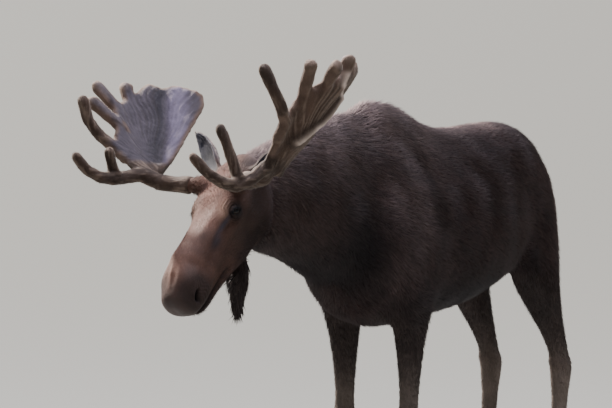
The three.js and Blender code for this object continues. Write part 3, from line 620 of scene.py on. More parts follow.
def hide_colour(points, normals, share):
    """The colour of the hide at each point, from the region it is in and its place there."""
    body = in_body(points)
    told = in_head(points)
    face = folded(told)
    cloud = ripple(points, 0.16)
    head = np.clip(share["head"] + share["jaw"] + share["buried"], 0, 1)

    colour = marked(plain_colour(FLANK, points), body, BODY_MARKS, 1 - share["neck"])
    down_neck = step(0.0, 1.0, (1.82 - body[:, 2]) / 0.75)
    # Down the neck the nape's colour gives way to the neck's and then the throat's. The throat's dark is
    # partly painted shade under the neck.
    neck = laid_on(colour, [
        (NAPE, 1 - down_neck * 1.6),
        (THROAT_DARK_AND_SHADE, 2.2 * down_neck - 1.1),
        (NECK, 1 - np.abs(2 * down_neck - 1)),
    ])
    colour = laid_on(colour, [(neck, share["neck"] + head)])
    # Painted shade at the chest's front.
    colour = marked(colour, body, CHEST_SHADE_MARKS, 1 - head)
    height = body[:, 2] + 0.04 * cloud
    legs = share["lower"] + share["upper"]
    colour = laid_on(colour, [
        (LEG_BROWN, share["upper"] * (1 - step(0.85, 1.25, height))),
        (LEG_GREY, legs * (1 - step(0.55, 0.85, height))),
        (FETLOCK, share["lower"] * (1 - step(0.12, 0.30, height))),
    ])

    rim = 1 - step(0.0, 0.006, -lids_opening(*eye_frame(told)[:2]))
    around = np.exp(-(eye_distance(told) / 0.041) ** 4)
    rear = 1 - step(0.0, 0.065, (face - CHEEK_END) @ CHEEK_WAY)
    rear = rear * (1 - step(0.30, 0.44, face[:, 0])) * step(0.02, 0.06, face[:, 1])
    lips = np.exp(-(mouth_height(told) / 0.007) ** 2)
    lips *= step(MOUTH_CORNER - 0.02, MOUTH_CORNER, told[:, 0])
    head_hide = laid_on(marked(plain_colour(FACE, points), face, HEAD_MARKS, 1), [
        (EYE_RIM, 0.88 * around + rim * (around > 0.2)),
        (CHEEK_BACK, 0.95 * rear),
        # The nostrils' pits and the line where the lips part are laid on near black: partly the dark bare
        # skin there, partly painted shade in the openings.
        (NOSTRIL_DARK_AND_SHADE, 1.3 * nostril_shape(told)[0]),
        (NOSTRIL_DARK_AND_SHADE, 0.8 * lips),
    ])
    look = ear_facing(points, normals)
    colour = laid_on(colour, [
        (head_hide, head - share["near neck"]),
        (BELL_BROWN, share["bell"]),
        (TAIL_BROWN, share["tail"]),
        (EAR_BACK, share["ear"]),
        # The ear's hollow is dark and bluish: partly its own dark hair, partly painted shade.
        (EAR_INNER_AND_SHADE, share["ear"] * step(0.15, 0.6, look)),
        (EAR_RIM, 0.8 * share["ear"] * (1 - step(0.03, 0.20, np.abs(look)))),
    ])
    mottle = 1 + 0.16 * cloud + 0.10 * ripple(points, 0.05)
    return colour * np.clip(mottle, 0.6, 1.5)[:, None]


def paint(piece, colours):
    """Keeps a colour for each point, which the materials read."""
    layer = piece.data.color_attributes.new(name="hide", type="FLOAT_COLOR", domain="POINT")
    rows = np.concatenate([colours, np.ones((len(colours), 1))], 1)
    layer.data.foreach_set("color", rows.astype(np.float32).ravel())


def keep(piece, name, values):
    """Keeps a value for each point, which the materials read."""
    layer = piece.data.attributes.new(name=name, type="FLOAT", domain="POINT")
    layer.data.foreach_set("value", values.astype(np.float32))


def unwrap(piece):
    """Lays the whole surface flat in a map."""
    select_only(piece)
    bpy.ops.object.mode_set(mode="EDIT")
    bpy.ops.mesh.select_all(action="SELECT")
    bpy.ops.uv.smart_project(angle_limit=math.radians(66), island_margin=0.001)
    bpy.ops.object.mode_set(mode="OBJECT")


class Value:
    """A shader socket that can be reckoned with like a number."""

    def __init__(self, finish, socket):
        self.finish = finish
        self.socket = socket

    def __add__(self, other):
        return self.finish.maths("ADD", self, other)

    def __radd__(self, other):
        return self.finish.maths("ADD", other, self)

    def __sub__(self, other):
        return self.finish.maths("SUBTRACT", self, other)

    def __rsub__(self, other):
        return self.finish.maths("SUBTRACT", other, self)

    def __mul__(self, other):
        return self.finish.maths("MULTIPLY", self, other)

    def __rmul__(self, other):
        return self.finish.maths("MULTIPLY", other, self)


class Finish:
    """A material as it is mixed, with its Principled shader."""

    def __init__(self, name):
        self.material = bpy.data.materials.new(name)
        self.material.use_nodes = True
        self.tree = self.material.node_tree
        self.shader = self.tree.nodes["Principled BSDF"]

    def set(self, **sockets):
        """Gives sockets of the shader their numbers, colours or links."""
        for key, value in sockets.items():
            self.feed(self.shader.inputs[key.replace("_", " ")], value)

    def feed(self, socket, value):
        if isinstance(value, Value):
            self.tree.links.new(value.socket, socket)
        else:
            socket.default_value = value

    def node(self, kind, settings=None, inputs=None, output=0):
        """A node of a type, its settings, and the values or links of its sockets."""
        node = self.tree.nodes.new("ShaderNode" + kind)
        for key, value in (settings or {}).items():
            if key == "stops":
                ramp = node.color_ramp
                while len(ramp.elements) < len(value):
                    ramp.elements.new(0.5)
                for element, (place, colour) in zip(ramp.elements, value):
                    element.position = place
                    element.color = (*colour, 1)
            else:
                setattr(node, key, value)
        for key, value in (inputs or {}).items():
            self.feed(node.inputs[key], value)
        return Value(self, node.outputs[output])

    def maths(self, operation, first, second):
        return self.node("Math", {"operation": operation}, {0: first, 1: second})

    def place(self, turn=(0, 0, 0), stretch=(1, 1, 1)):
        """Object coordinates, turned and stretched."""
        inputs = {"Vector": self.node("TexCoord", output="Object"), "Rotation": turn, "Scale": stretch}
        return self.node("Mapping", {"vector_type": "TEXTURE"}, inputs)

    def noise(self, place, scale, detail=2.0, roughness=0.5):
        inputs = {"Vector": place, "Scale": scale, "Detail": detail, "Roughness": roughness}
        return self.node("TexNoise", None, inputs)

    def spread(self, value, low, high, to_low=0.0, to_high=1.0):
        """Maps a range of a value to another range, clamped."""
        return self.node("MapRange", None, {0: value, 1: low, 2: high, 3: to_low, 4: to_high})

    def mixed(self, share, first, second, blend="MIX"):
        settings = {"data_type": "RGBA", "blend_type": blend}
        return self.node("Mix", settings, {0: share, 6: first, 7: second}, 2)

    def kept(self, name, output="Fac"):
        """What a piece keeps for each of its points: a value, or a colour."""
        return self.node("Attribute", {"attribute_name": name}, output=output)

    def shaded(self, colour, shade):
        """A colour made darker or lighter by a value."""
        grey = self.node("CombineColor", None, {0: shade, 1: shade, 2: shade})
        return self.mixed(1.0, colour, grey, "MULTIPLY")

    def bump(self, height, distance, strength):
        return self.node("Bump", None, {"Strength": strength, "Distance": distance, "Height": height})


# Close hair lies along the head towards the poll, and down the body and the legs.
HEAD_TURN = tuple(Vector((1, 0, 0)).rotation_difference(head_along).to_euler())
hide = Finish("hide")
hairs = hide.noise(hide.place(HEAD_TURN, (0.055, 0.008, 0.008)), 6.0, 3.0, 0.6)
body_hairs = hide.noise(hide.place(stretch=(0.010, 0.010, 0.060)), 5.0, 3.0, 0.6)
plain = hide.place()
pores = hide.noise(plain, 420.0)
clouds = hide.noise(plain, 9.0, 4.0)
streaks = hide.spread(hairs, 0.30, 0.70, 0.60, 1.40) * hide.spread(clouds, 0.30, 0.70, 0.80, 1.22)
hide.set(
    Base_Color=hide.shaded(hide.kept("hide", "Color"), streaks),
    Roughness=0.66 - 0.34 * hide.kept("wet") + 0.10 * pores,
    Normal=hide.bump(hairs * 0.6 + body_hairs * 0.3 + pores * 0.25, 0.0016, 0.8),
    Specular_IOR_Level=0.22,
)

points = points_of(skin)
told = in_head(points)
# The neck's colour runs on over the back of the head.
region["near neck"] = 1.3 * relaxed(region["neck"][:, None], edges_of(skin), 0.6, 120)[:, 0]
paint(skin, hide_colour(points, normals_of(skin), region))
# The eyelids, the nostrils and the tip of the nose are damp.
opening = lids_opening(*eye_frame(told)[:2])
at_lids = (eye_distance(told) < 0.040) * (1 - step(0.0, 0.004, -opening))
nose_tip = region["head"] * step(0.63, 0.68, told[:, 0])
keep(skin, "wet", np.clip(at_lids + nostril_shape(told)[0] + 0.7 * nose_tip, 0, 1))
skin.data.materials.append(hide.material)
unwrap(skin)
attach(skin, "root")
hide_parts(*FLESH)

# ---------------------------------------------------------------- coat
# Guard hairs stand together in thin tufts, each a closed spike rooted in the hide. They lie back and
# down the body, up the face towards the poll, and down the legs, the bell and the tail. Only the
# long hair of the bell and the tail and the lashes over the eyes are seen to bend.

# For each region: the tufts' length, how steeply they rise, and the way that they lie.
UP_FACE, INTO_FACE = -HEAD_AXES[0], -HEAD_AXES[2]
HAIR = {
    "trunk": [0.042, 0.24, (0.80, 0.0, -0.55)],
    "neck": [0.052, 0.24, (0.72, 0.0, -0.60)],
    "head": [0.0135, 0.15, UP_FACE + 0.25 * INTO_FACE],
    "jaw": [0.020, 0.19, UP_FACE * 0.8 + 0.5 * INTO_FACE],
    "bell": [0.060, 0.20, (0.05, 0.0, -1.0)],
    "tail": [0.050, 0.26, (0.25, 0.0, -0.95)],
    "ear": [0.018, 0.22, (0.30, 0.0, 0.80)],
    "upper": [0.034, 0.24, (0.25, 0.0, -0.95)],
    "lower": [0.019, 0.20, (0.08, 0.0, -1.0)],
    "buried": [0.012, 0.20, UP_FACE],
}
FROST_AND_SHEEN_COLOUR = (0.40, 0.300, 0.260)  # the pale ends of the older hairs, on the lit top also a painted sheen
ROOT_DEPTH = 0.0015
# Corners of a curved spike's faces: root ring 0 1 2, middle ring 3 4 5, tip 6, all facing outwards.
CURVED = np.array([
    [0, 3, 5], [0, 5, 2], [2, 5, 4], [2, 4, 1], [1, 4, 3],
    [1, 3, 0], [0, 2, 1], [3, 6, 5], [5, 6, 4], [4, 6, 3],
])
# The same corners laid flat on the patch that the tuft has in its map.
CURVED_PATCH = np.array([
    [[0, 0], [0, 0.45], [0.33, 0.45]], [[0, 0], [0.33, 0.45], [0.33, 0]],
    [[0.33, 0], [0.33, 0.45], [0.67, 0.45]], [[0.33, 0], [0.67, 0.45], [0.67, 0]],
    [[0.67, 0], [0.67, 0.45], [1, 0.45]], [[0.67, 0], [1, 0.45], [1, 0]],
    [[0, 0], [0.33, 0], [0.1, 0.02]], [[0, 0.45], [0.17, 1], [0.33, 0.45]],
    [[0.33, 0.45], [0.5, 1], [0.67, 0.45]], [[0.67, 0.45], [0.83, 1], [1, 0.45]],
])
# The same of a straight spike: root ring 0 1 2, tip 3.
STRAIGHT = np.array([[0, 3, 2], [2, 3, 1], [1, 3, 0], [0, 2, 1]])
STRAIGHT_PATCH = np.array([
    [[0, 0], [0.17, 1], [0.33, 0]], [[0.33, 0], [0.5, 1], [0.67, 0]],
    [[0.67, 0], [0.83, 1], [1, 0]], [[0, 0], [0.33, 0], [0.1, 0.02]],
])
PATCH_SIZE = 0.003


def unit(rows):
    return rows / np.maximum(np.linalg.norm(rows, axis=-1, keepdims=True), 1e-9)


def tree_of(points):
    """A search tree over points."""
    tree = KDTree(len(points))
    for row, point in enumerate(points):
        tree.insert(point, row)
    tree.balance()
    return tree


def mesh_of(name, corners, faces):
    """A piece made of triangles, from arrays."""
    mesh = bpy.data.meshes.new(name)
    mesh.vertices.add(len(corners))
    mesh.vertices.foreach_set("co", corners.astype(np.float32).ravel())
    mesh.loops.add(faces.size)
    mesh.loops.foreach_set("vertex_index", faces.astype(np.int32).ravel())
    mesh.polygons.add(len(faces))
    mesh.polygons.foreach_set("loop_start", np.arange(0, faces.size, 3, dtype=np.int32))
    mesh.update(calc_edges=True)
    mesh.polygons.foreach_set("use_smooth", np.ones(len(faces), bool))
    piece = bpy.data.objects.new(name, mesh)
    bpy.context.scene.collection.objects.link(piece)
    return piece


class Ground:
    """A surface that tufts grow on, with its map and the values kept for each of its points."""

    def __init__(self, piece, kept):
        mesh = piece.data
        mesh.calc_loop_triangles()
        self.triangles = read(mesh.loop_triangles, "vertices", 3, np.int32)
        loops = read(mesh.loop_triangles, "loops", 3, np.int32)
        self.map = read(mesh.uv_layers.active.data, "uv", 2)[loops].astype(float)
        self.points = points_of(piece)
        self.kept = {"normal": normals_of(piece), "point": self.points, **kept}
        first, second, third = self.points[self.triangles].transpose(1, 0, 2)
        self.area = np.linalg.norm(np.cross(second - first, third - first), axis=1) / 2
        self.centre = self.points[self.triangles].mean(1)

    def sown(self, weight, count, random):
        """Roots spread evenly over the surface by weight, with all that is kept for them."""
        sums = np.cumsum(self.area * weight)
        picks = (np.arange(count) + random.random(count)) / count * sums[-1]
        rows = np.searchsorted(sums, picks).clip(0, len(sums) - 1)
        first, second = np.sort(random.random((2, count)), axis=0)
        shares = np.stack([first, second - first, 1 - second], 1)
        corners = self.triangles[rows]
        roots = {}
        for key, values in self.kept.items():
            roots[key] = np.einsum("nk,nk...->n...", shares, values[corners])
        roots["map"] = np.einsum("nk,nkd->nd", shares, self.map[rows])
        roots["normal"] = unit(roots["normal"])
        return roots


def grown(name, finish, roots, random, breadth=0.085, clump=12, stray=0.13, curved=False,
          frost_and_sheen=FROST_AND_SHEEN_COLOUR):
    """A piece of coat: one closed spike on each root. Each clump of them leans to its leader."""
    count = len(roots["point"])
    start, normal = roots["point"], roots["normal"]
    length = roots["length"] * random.uniform(0.65, 1.25, count)
    swirl = np.stack([ripple(start + shift, 0.11) for shift in (0.0, 3.1, 7.7)], 1)
    lie = unit(roots["lie"]) + 0.22 * swirl + stray * random.normal(size=(count, 3))
    lie = unit(lie - normal * (lie * normal).sum(1)[:, None])
    rise = length * roots["rise"] * random.uniform(0.55, 1.35, count)
    run = lie * (length * 0.97)[:, None]
    tip = start + run + normal * rise[:, None]
    if clump > 1:
        leaders = np.arange(0, count, clump)
        tree = tree_of(start[leaders])
        nearest = leaders[[tree.find(point)[1] for point in start]]
        pull = start[nearest] + run + normal * rise[:, None] * 1.15 - tip
        reach = np.linalg.norm(pull, axis=1)
        share = 0.38 * np.clip(length / np.maximum(reach, 1e-6) * 0.5, 0, 1)
        tip = tip + pull * share[:, None]
    middle = start + (tip - start) * 0.45 + normal * (0.20 * rise)[:, None]
    across = unit(np.cross(normal, tip - start))
    half = (0.5 * breadth * roots["length"] * random.uniform(0.75, 1.25, count))[:, None]
    root = start - normal * ROOT_DEPTH
    ring = [-across * half, across * half, normal * half * 0.9]
    base = [root + way * 0.9 for way in ring]
    waist = [middle + way * 0.85 for way in ring] if curved else []
    corners = np.stack([*base, *waist, tip], 1)
    faces, patch = (CURVED, CURVED_PATCH) if curved else (STRAIGHT, STRAIGHT_PATCH)
    faces = faces[None] + corners.shape[1] * np.arange(count)[:, None, None]
    piece = mesh_of(name, corners.reshape(-1, 3), faces.reshape(-1, 3))

    # Each tuft has its own tone and is darker at its root, a painted shade deep in the coat. Some have pale
    # ends.
    tone = random.uniform(0.60, 1.42, count) * (1 + 0.18 * ripple(start, 0.03))
    colour = roots["colour"] * tone[:, None]
    frosted_and_sheen = (random.random(count) < roots["frost_and_sheen"])[:, None] * random.uniform(0.25, 0.8, (count, 1))
    pale = np.array(frost_and_sheen) * (0.12 + colour.mean(1) * 8).clip(0, 1)[:, None]
    ends = colour * 1.12 + frosted_and_sheen * (pale - colour)
    # Painted shade: the root ring is darker than the middle and the end.
    shades = np.stack([colour * 0.62] * 3 + [colour] * len(waist) + [ends], 1)
    paint(piece, shades.reshape(-1, 3).clip(0, 1))
    corner_map = roots["map"].clip(PATCH_SIZE, 1 - 2 * PATCH_SIZE)[:, None, None] + PATCH_SIZE * patch[None]
    layer = piece.data.uv_layers.new(name="OFBake")
    layer.data.foreach_set("uv", corner_map.astype(np.float32).ravel())
    piece.data.materials.append(finish.material)
    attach(piece, "root")


points = points_of(skin)
normals = normals_of(skin)
told = in_head(points)
body = in_body(points)
out = np.zeros_like(points)
out[:, 1] = np.sign(points[:, 1] - MIDDLE_Y)
length = sum(region[name] * HAIR[name][0] for name in HAIR)
rise = sum(region[name] * HAIR[name][1] for name in HAIR)
lie = sum(region[name][:, None] * np.array(HAIR[name][2]) for name in HAIR)

# The mane over the hump and the hair under the neck are the longest.
crest = np.exp(-((body[:, 0] / 0.40) ** 2 + (body[:, 1] / 0.16) ** 2)) * step(1.55, 1.85, body[:, 2])
under_neck = region["neck"] * (1 - step(1.30, 1.5, body[:, 2]))
length *= 1 + 0.45 * crest * region["trunk"] + 0.20 * under_neck
# The coat turns down over the haunch, back along the belly, and out from the line of the back.
haunch = step(0.88, 1.20, body[:, 0]) * region["trunk"]
lie += haunch[:, None] * np.array([-0.50, 0, -0.45])
belly = region["trunk"] * (1 - step(0.98, 1.12, body[:, 2]))
lie += belly[:, None] * np.array([0.4, 0, 0.45])
top = region["trunk"] * step(0.6, 1.0, normals[:, 2])
lie += top[:, None] * (0.35 * out + np.array([0.2, 0, 0.3]))
# It is short on the muzzle and down the legs, and longer on the forehead and over the hooves.
muzzle = region["head"] * step(0.46, 0.60, told[:, 0])
length *= 1 - 0.55 * muzzle
forehead = region["head"] * (1 - step(0.14, 0.30, told[:, 0])) * step(0.0, 0.05, told[:, 2])
length *= 1 + 0.6 * forehead
length *= 1 + 0.8 * region["lower"] * (1 - step(0.10, 0.15, body[:, 2]))
low_leg = 1 - step(0.55, 1.05, body[:, 2])
length *= 1 - 0.45 * region["upper"] * low_leg
rise -= 0.08 * region["upper"] * low_leg
rise += 0.09 * forehead + 0.06 * crest
# Each ear's hair lies towards its tip, short and flat in the hollow.
ear_ways = {}
for side, sign in SIGNS.items():
    low, high = (Vector(corner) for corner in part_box(f"ear_{side}"))
    ear_ways[side] = unit(np.array((low + high) / 2 - poll - 0.03 * head_left * sign))
ear_way = np.where((told[:, 1] > 0)[:, None], ear_ways["left"], ear_ways["right"])
lie += region["ear"][:, None] * (2.5 * ear_way)
hollow = region["ear"] * step(0.0, 0.4, ear_facing(points, normals))
length *= 1 - 0.45 * hollow
rise *= 1 - 0.60 * hollow
# The eyelids, the nostrils and the tip of the nose are bald.
bald = region["buried"] * 1.6 + (lids_opening(*eye_frame(told)[:2]) > -0.003) * (at_lids > 0)
bald = np.clip(bald + 1.5 * nostril_shape(told)[0] + 0.5 * muzzle * step(0.66, 0.69, told[:, 0]), 0, 1)
# The share of tufts with pale ends. Most are on the hump and the upper neck and trunk, where they are
# partly a painted sheen of the lit top.
frost_and_sheen = 0.08 + 0.45 * crest + 0.25 * region["neck"] * step(1.20, 1.60, body[:, 2])
frost_and_sheen += 0.25 * region["trunk"] * step(1.35, 1.75, body[:, 2])
frost_and_sheen += 0.30 * region["lower"] - 0.05 * region["head"] - 0.08 * region["ear"]
colours = hide_colour(points, normals, region)
ground = Ground(skin, {
    "length": length, "rise": rise, "lie": lie, "frost_and_sheen": frost_and_sheen, "bald": bald, "colour": colours,
})

hairy = 1 - bald[ground.triangles].mean(1)
most = np.argmax([region[name][ground.triangles].mean(1) for name in REGIONS], axis=0)


def mostly(*names):
    return np.isin(most, [list(REGIONS).index(name) for name in names])


on_left = ground.centre[:, 1] < MIDDLE_Y
along_body = ground.centre[:, 0] - HUMP.x
shoulders = mostly("trunk") & (along_body < 0.26)
flanks = mostly("trunk") & (along_body >= 0.26) & (along_body < 0.78)
rumps = mostly("trunk") & (along_body >= 0.78)
# Each piece of coat: where it grows, how many tufts it has, and its slot.
COAT = {
    "coat_shoulder_right": [shoulders & ~on_left, 36000, "coat"],
    "coat_shoulder_left": [shoulders & on_left, 36000, "coat"],
    "coat_flank_right": [flanks & ~on_left, 34000, "coat"],
    "coat_flank_left": [flanks & on_left, 34000, "coat"],
    "coat_rump_right": [rumps & ~on_left, 22000, "coat"],
    "coat_rump_left": [rumps & on_left, 22000, "coat"],
    "coat_neck": [mostly("neck"), 46000, "coat"],
    "coat_upper_legs": [mostly("upper"), 30000, "coat"],
    "coat_shanks": [mostly("lower"), 17000, "leg_coat"],
    "coat_face": [mostly("head", "jaw"), 44000, "face"],
    "coat_ears": [mostly("ear"), 8000, "ear"],
    "coat_tassels": [mostly("bell", "tail"), 4500, "coat"],
}
fur = Finish("coat_hair")
glints = fur.noise(fur.place(), 260.0)
fur.set(
    Base_Color=fur.shaded(fur.kept("hide", "Color"), fur.spread(glints, 0.3, 0.7, 0.85, 1.18)),
    Roughness=0.52 + 0.22 * glints,
    Specular_IOR_Level=0.14,
    Sheen_Weight=0.045,
    Sheen_Roughness=0.5,
    Sheen_Tint=(1.0, 0.90, 0.98, 1),
)
for number, (name, (where, count, slot)) in enumerate(COAT.items()):
    random = np.random.default_rng(100 + number)
    roots = ground.sown(np.where(where, hairy, 0), count, random)
    grown(name, fur, roots, random, curved=name == "coat_tassels")

# The lashes stand out over the upper lids' edges and bend down at their tips.
LASHES, LASH_LENGTH, LASH_BLACK = 260, 0.010, 0.010
random = np.random.default_rng(77)
along, up, outward = eye_frame(in_head(ground.centre))
at_edge = (np.abs(lids_opening(along, up) + 0.0022) < 0.0022) & (up > 0.002) & (np.abs(outward) < 0.03)
roots = ground.sown(at_edge.astype(float), LASHES, random)
sides = np.ones((LASHES, 3))
sides[:, 1] = np.sign(in_head(roots["point"])[:, 1])
roots["normal"] = unit((EYE_OUT * sides) @ HEAD_AXES)
roots["lie"] = np.tile(0.30 * INTO_FACE - 0.20 * UP_FACE, (LASHES, 1))
roots["length"] = np.full(LASHES, LASH_LENGTH)
roots["rise"] = np.full(LASHES, 1.1)
roots["colour"] = np.full((LASHES, 3), LASH_BLACK)
roots["frost_and_sheen"] = np.zeros(LASHES)
grown("lashes", fur, roots, random, breadth=0.07, clump=1, stray=0.2, curved=True)

# ---------------------------------------------------------------- antlers
# Growing bone under a living skin of velvet: round beams and tines and a dished palm on each side,
# ribbed along the blood vessels, with short pale fuzz. Light and shade are partly painted into its colours.

# The velvet's dark and pale stand in part for painted shade and painted highlight.
VELVET_DARK_AND_SHADE, VELVET_BROWN = (0.034, 0.021, 0.016), (0.092, 0.058, 0.043)
VELVET_PALE_AND_HIGHLIGHT, VELVET_EDGE = (0.300, 0.225, 0.175), (0.104, 0.065, 0.049)
# The colours of the palm's inner face are painted shade and a painted reflection of the sky.
PALM_FACE_SHADE, PALM_SHADE_BAND, PALM_LILAC_SKY_SHEEN = (0.046, 0.038, 0.048), (0.016, 0.014, 0.020), (0.135, 0.112, 0.160)
# Painted highlights: the pale of the palm's crease and of the left palm's rim.
FOLD_HIGHLIGHT, RIM_HIGHLIGHT, FUZZ_TIP_AND_GLOW = (0.55, 0.45, 0.39), (0.78, 0.63, 0.56), (0.42, 0.32, 0.24)
ANTLER_PARTS = ("beam", "brow", "palm", "tine")
ANTLER_GRAIN, VEINS, FUZZ_TUFTS = 0.0055, 24, 21000
VELVET_DEPTH, RIB_DEPTH, FINE_DEPTH, BRIM_ROLL = 0.0016, 0.0017, 0.0007, 0.0030
LOBE_DEPTH, LOBE_WIDTH = 0.006, 0.0125
# The way that the back of each palm looks: forward, out to its side, and up.
PALM_OUTWARD = (-0.45, 0.75, -0.50)
# In the head's frame: the crease of each palm and how far it stands outward along it, the way
# across the palms from there, and the line along the left palm's rim where a highlight is painted.
PALM_FOLDS = {
    "left": [[(0.024, 0.435, 0.126), (-0.031, 0.463, 0.111), (-0.091, 0.479, 0.090),
              (-0.204, 0.515, 0.085)], 0.017],
    "right": [[(0.036, -0.342, 0.089), (-0.148, -0.422, 0.078), (-0.349, -0.514, 0.096)], 0.014],
}
PALM_BACKWARD = (-0.43, 0.71, -0.55)
RIM_HIGHLIGHT_LINE = [(-0.056, 0.468, 0.101), (-0.158, 0.456, 0.051), (-0.216, 0.521, 0.087),
            (-0.210, 0.596, 0.149), (-0.242, 0.617, 0.168)]
# The back corner of the right palm is round: its middle, its radius and the way that it points.
CORNER_MIDDLE, CORNER_RADIUS = (-0.348, -0.415, 0.006), 0.035
CORNER_WAY = np.array([-0.761, 0.293, -0.578])


def from_line(points, line, facing):
    """The way to each point from the nearest place on a line, seen along facing, and its length."""
    facing = HEAD_AXES @ facing
    points, line = (rows - np.outer(rows @ facing, facing) for rows in (points, np.array(line)))
    gaps = []
    for start, end in zip(line[:-1], line[1:]):
        way = end - start
        share = ((points - start) @ way / (way @ way)).clip(0, 1)
        gaps.append(points - start - share[:, None] * way)
    gaps = np.array(gaps)
    lengths = np.linalg.norm(gaps, axis=2)
    nearest = lengths.argmin(0)
    rows = np.arange(len(points))
    return gaps[nearest, rows], lengths[nearest, rows]


def growth_way(points, normals, edges, root):
    """The way that the bone grows at each point: along the beams and tines, away from the root."""
    spread = (normals[:, :, None] * normals[:, None, :]).reshape(-1, 9)
    spread = relaxed(spread, edges, 0.6, 45).reshape(-1, 3, 3)
    strength, ways = np.linalg.eigh(spread)
    axis = ways[:, :, 0]
    radial = unit(points - root)
    axis = axis * np.sign((axis * radial).sum(1))[:, None]
    flat = step(0.10, 0.30, 1 - strength[:, 1] / np.maximum(strength[:, 2], 1e-6) - 0.45)
    way = axis * (1 - flat)[:, None] + radial * flat[:, None]
    way = relaxed(way, edges, 0.6, 20)
    return unit(way - normals * (way * normals).sum(1)[:, None])


def streaked(points, edges, way, random, rounds):
    """Random values drawn out along the way of growth, between about -1 and 1."""
    start, end = edges.T
    run = unit(points[end] - points[start])
    weight = np.abs((run * unit(way[start] + way[end])).sum(1)) ** 10 + 0.006
    total = np.bincount(start, weight, len(points)) + np.bincount(end, weight, len(points))
    value = random.normal(size=len(points))
    for _ in range(rounds):
        near = np.bincount(start, weight * value[end], len(points))
        near += np.bincount(end, weight * value[start], len(points))
        value = 0.35 * value + 0.65 * near / total
    return np.tanh(value / value.std() * 0.8)


velvet = Finish("velvet")
plain = velvet.place()
nap = velvet.noise(plain, 520.0, 2.0, 0.6)
blotch = velvet.noise(plain, 26.0, 4.0)
shade = velvet.spread(blotch, 0.3, 0.7, 0.80, 1.22) * velvet.spread(nap, 0.3, 0.7, 0.78, 1.20)
velvet.set(
    Base_Color=velvet.shaded(velvet.kept("hide", "Color"), shade),
    Roughness=0.72 + 0.14 * nap,
    Normal=velvet.bump(nap * 0.7 + blotch * 0.5 + velvet.kept("ribs") * 0.6, 0.0016, 0.7),
    Specular_IOR_Level=0.2,
    Sheen_Weight=0.18,
    Sheen_Roughness=0.4,
    Sheen_Tint=(1.0, 0.88, 0.76, 1),
)
fuzz = Finish("velvet_fuzz")
fuzz.set(
    Base_Color=fuzz.kept("hide", "Color"),
    Roughness=0.5 + 0.1 * fuzz.noise(fuzz.place(), 200.0),
    Specular_IOR_Level=0.3,
    Sheen_Weight=0.3,
    Sheen_Roughness=0.4,
)

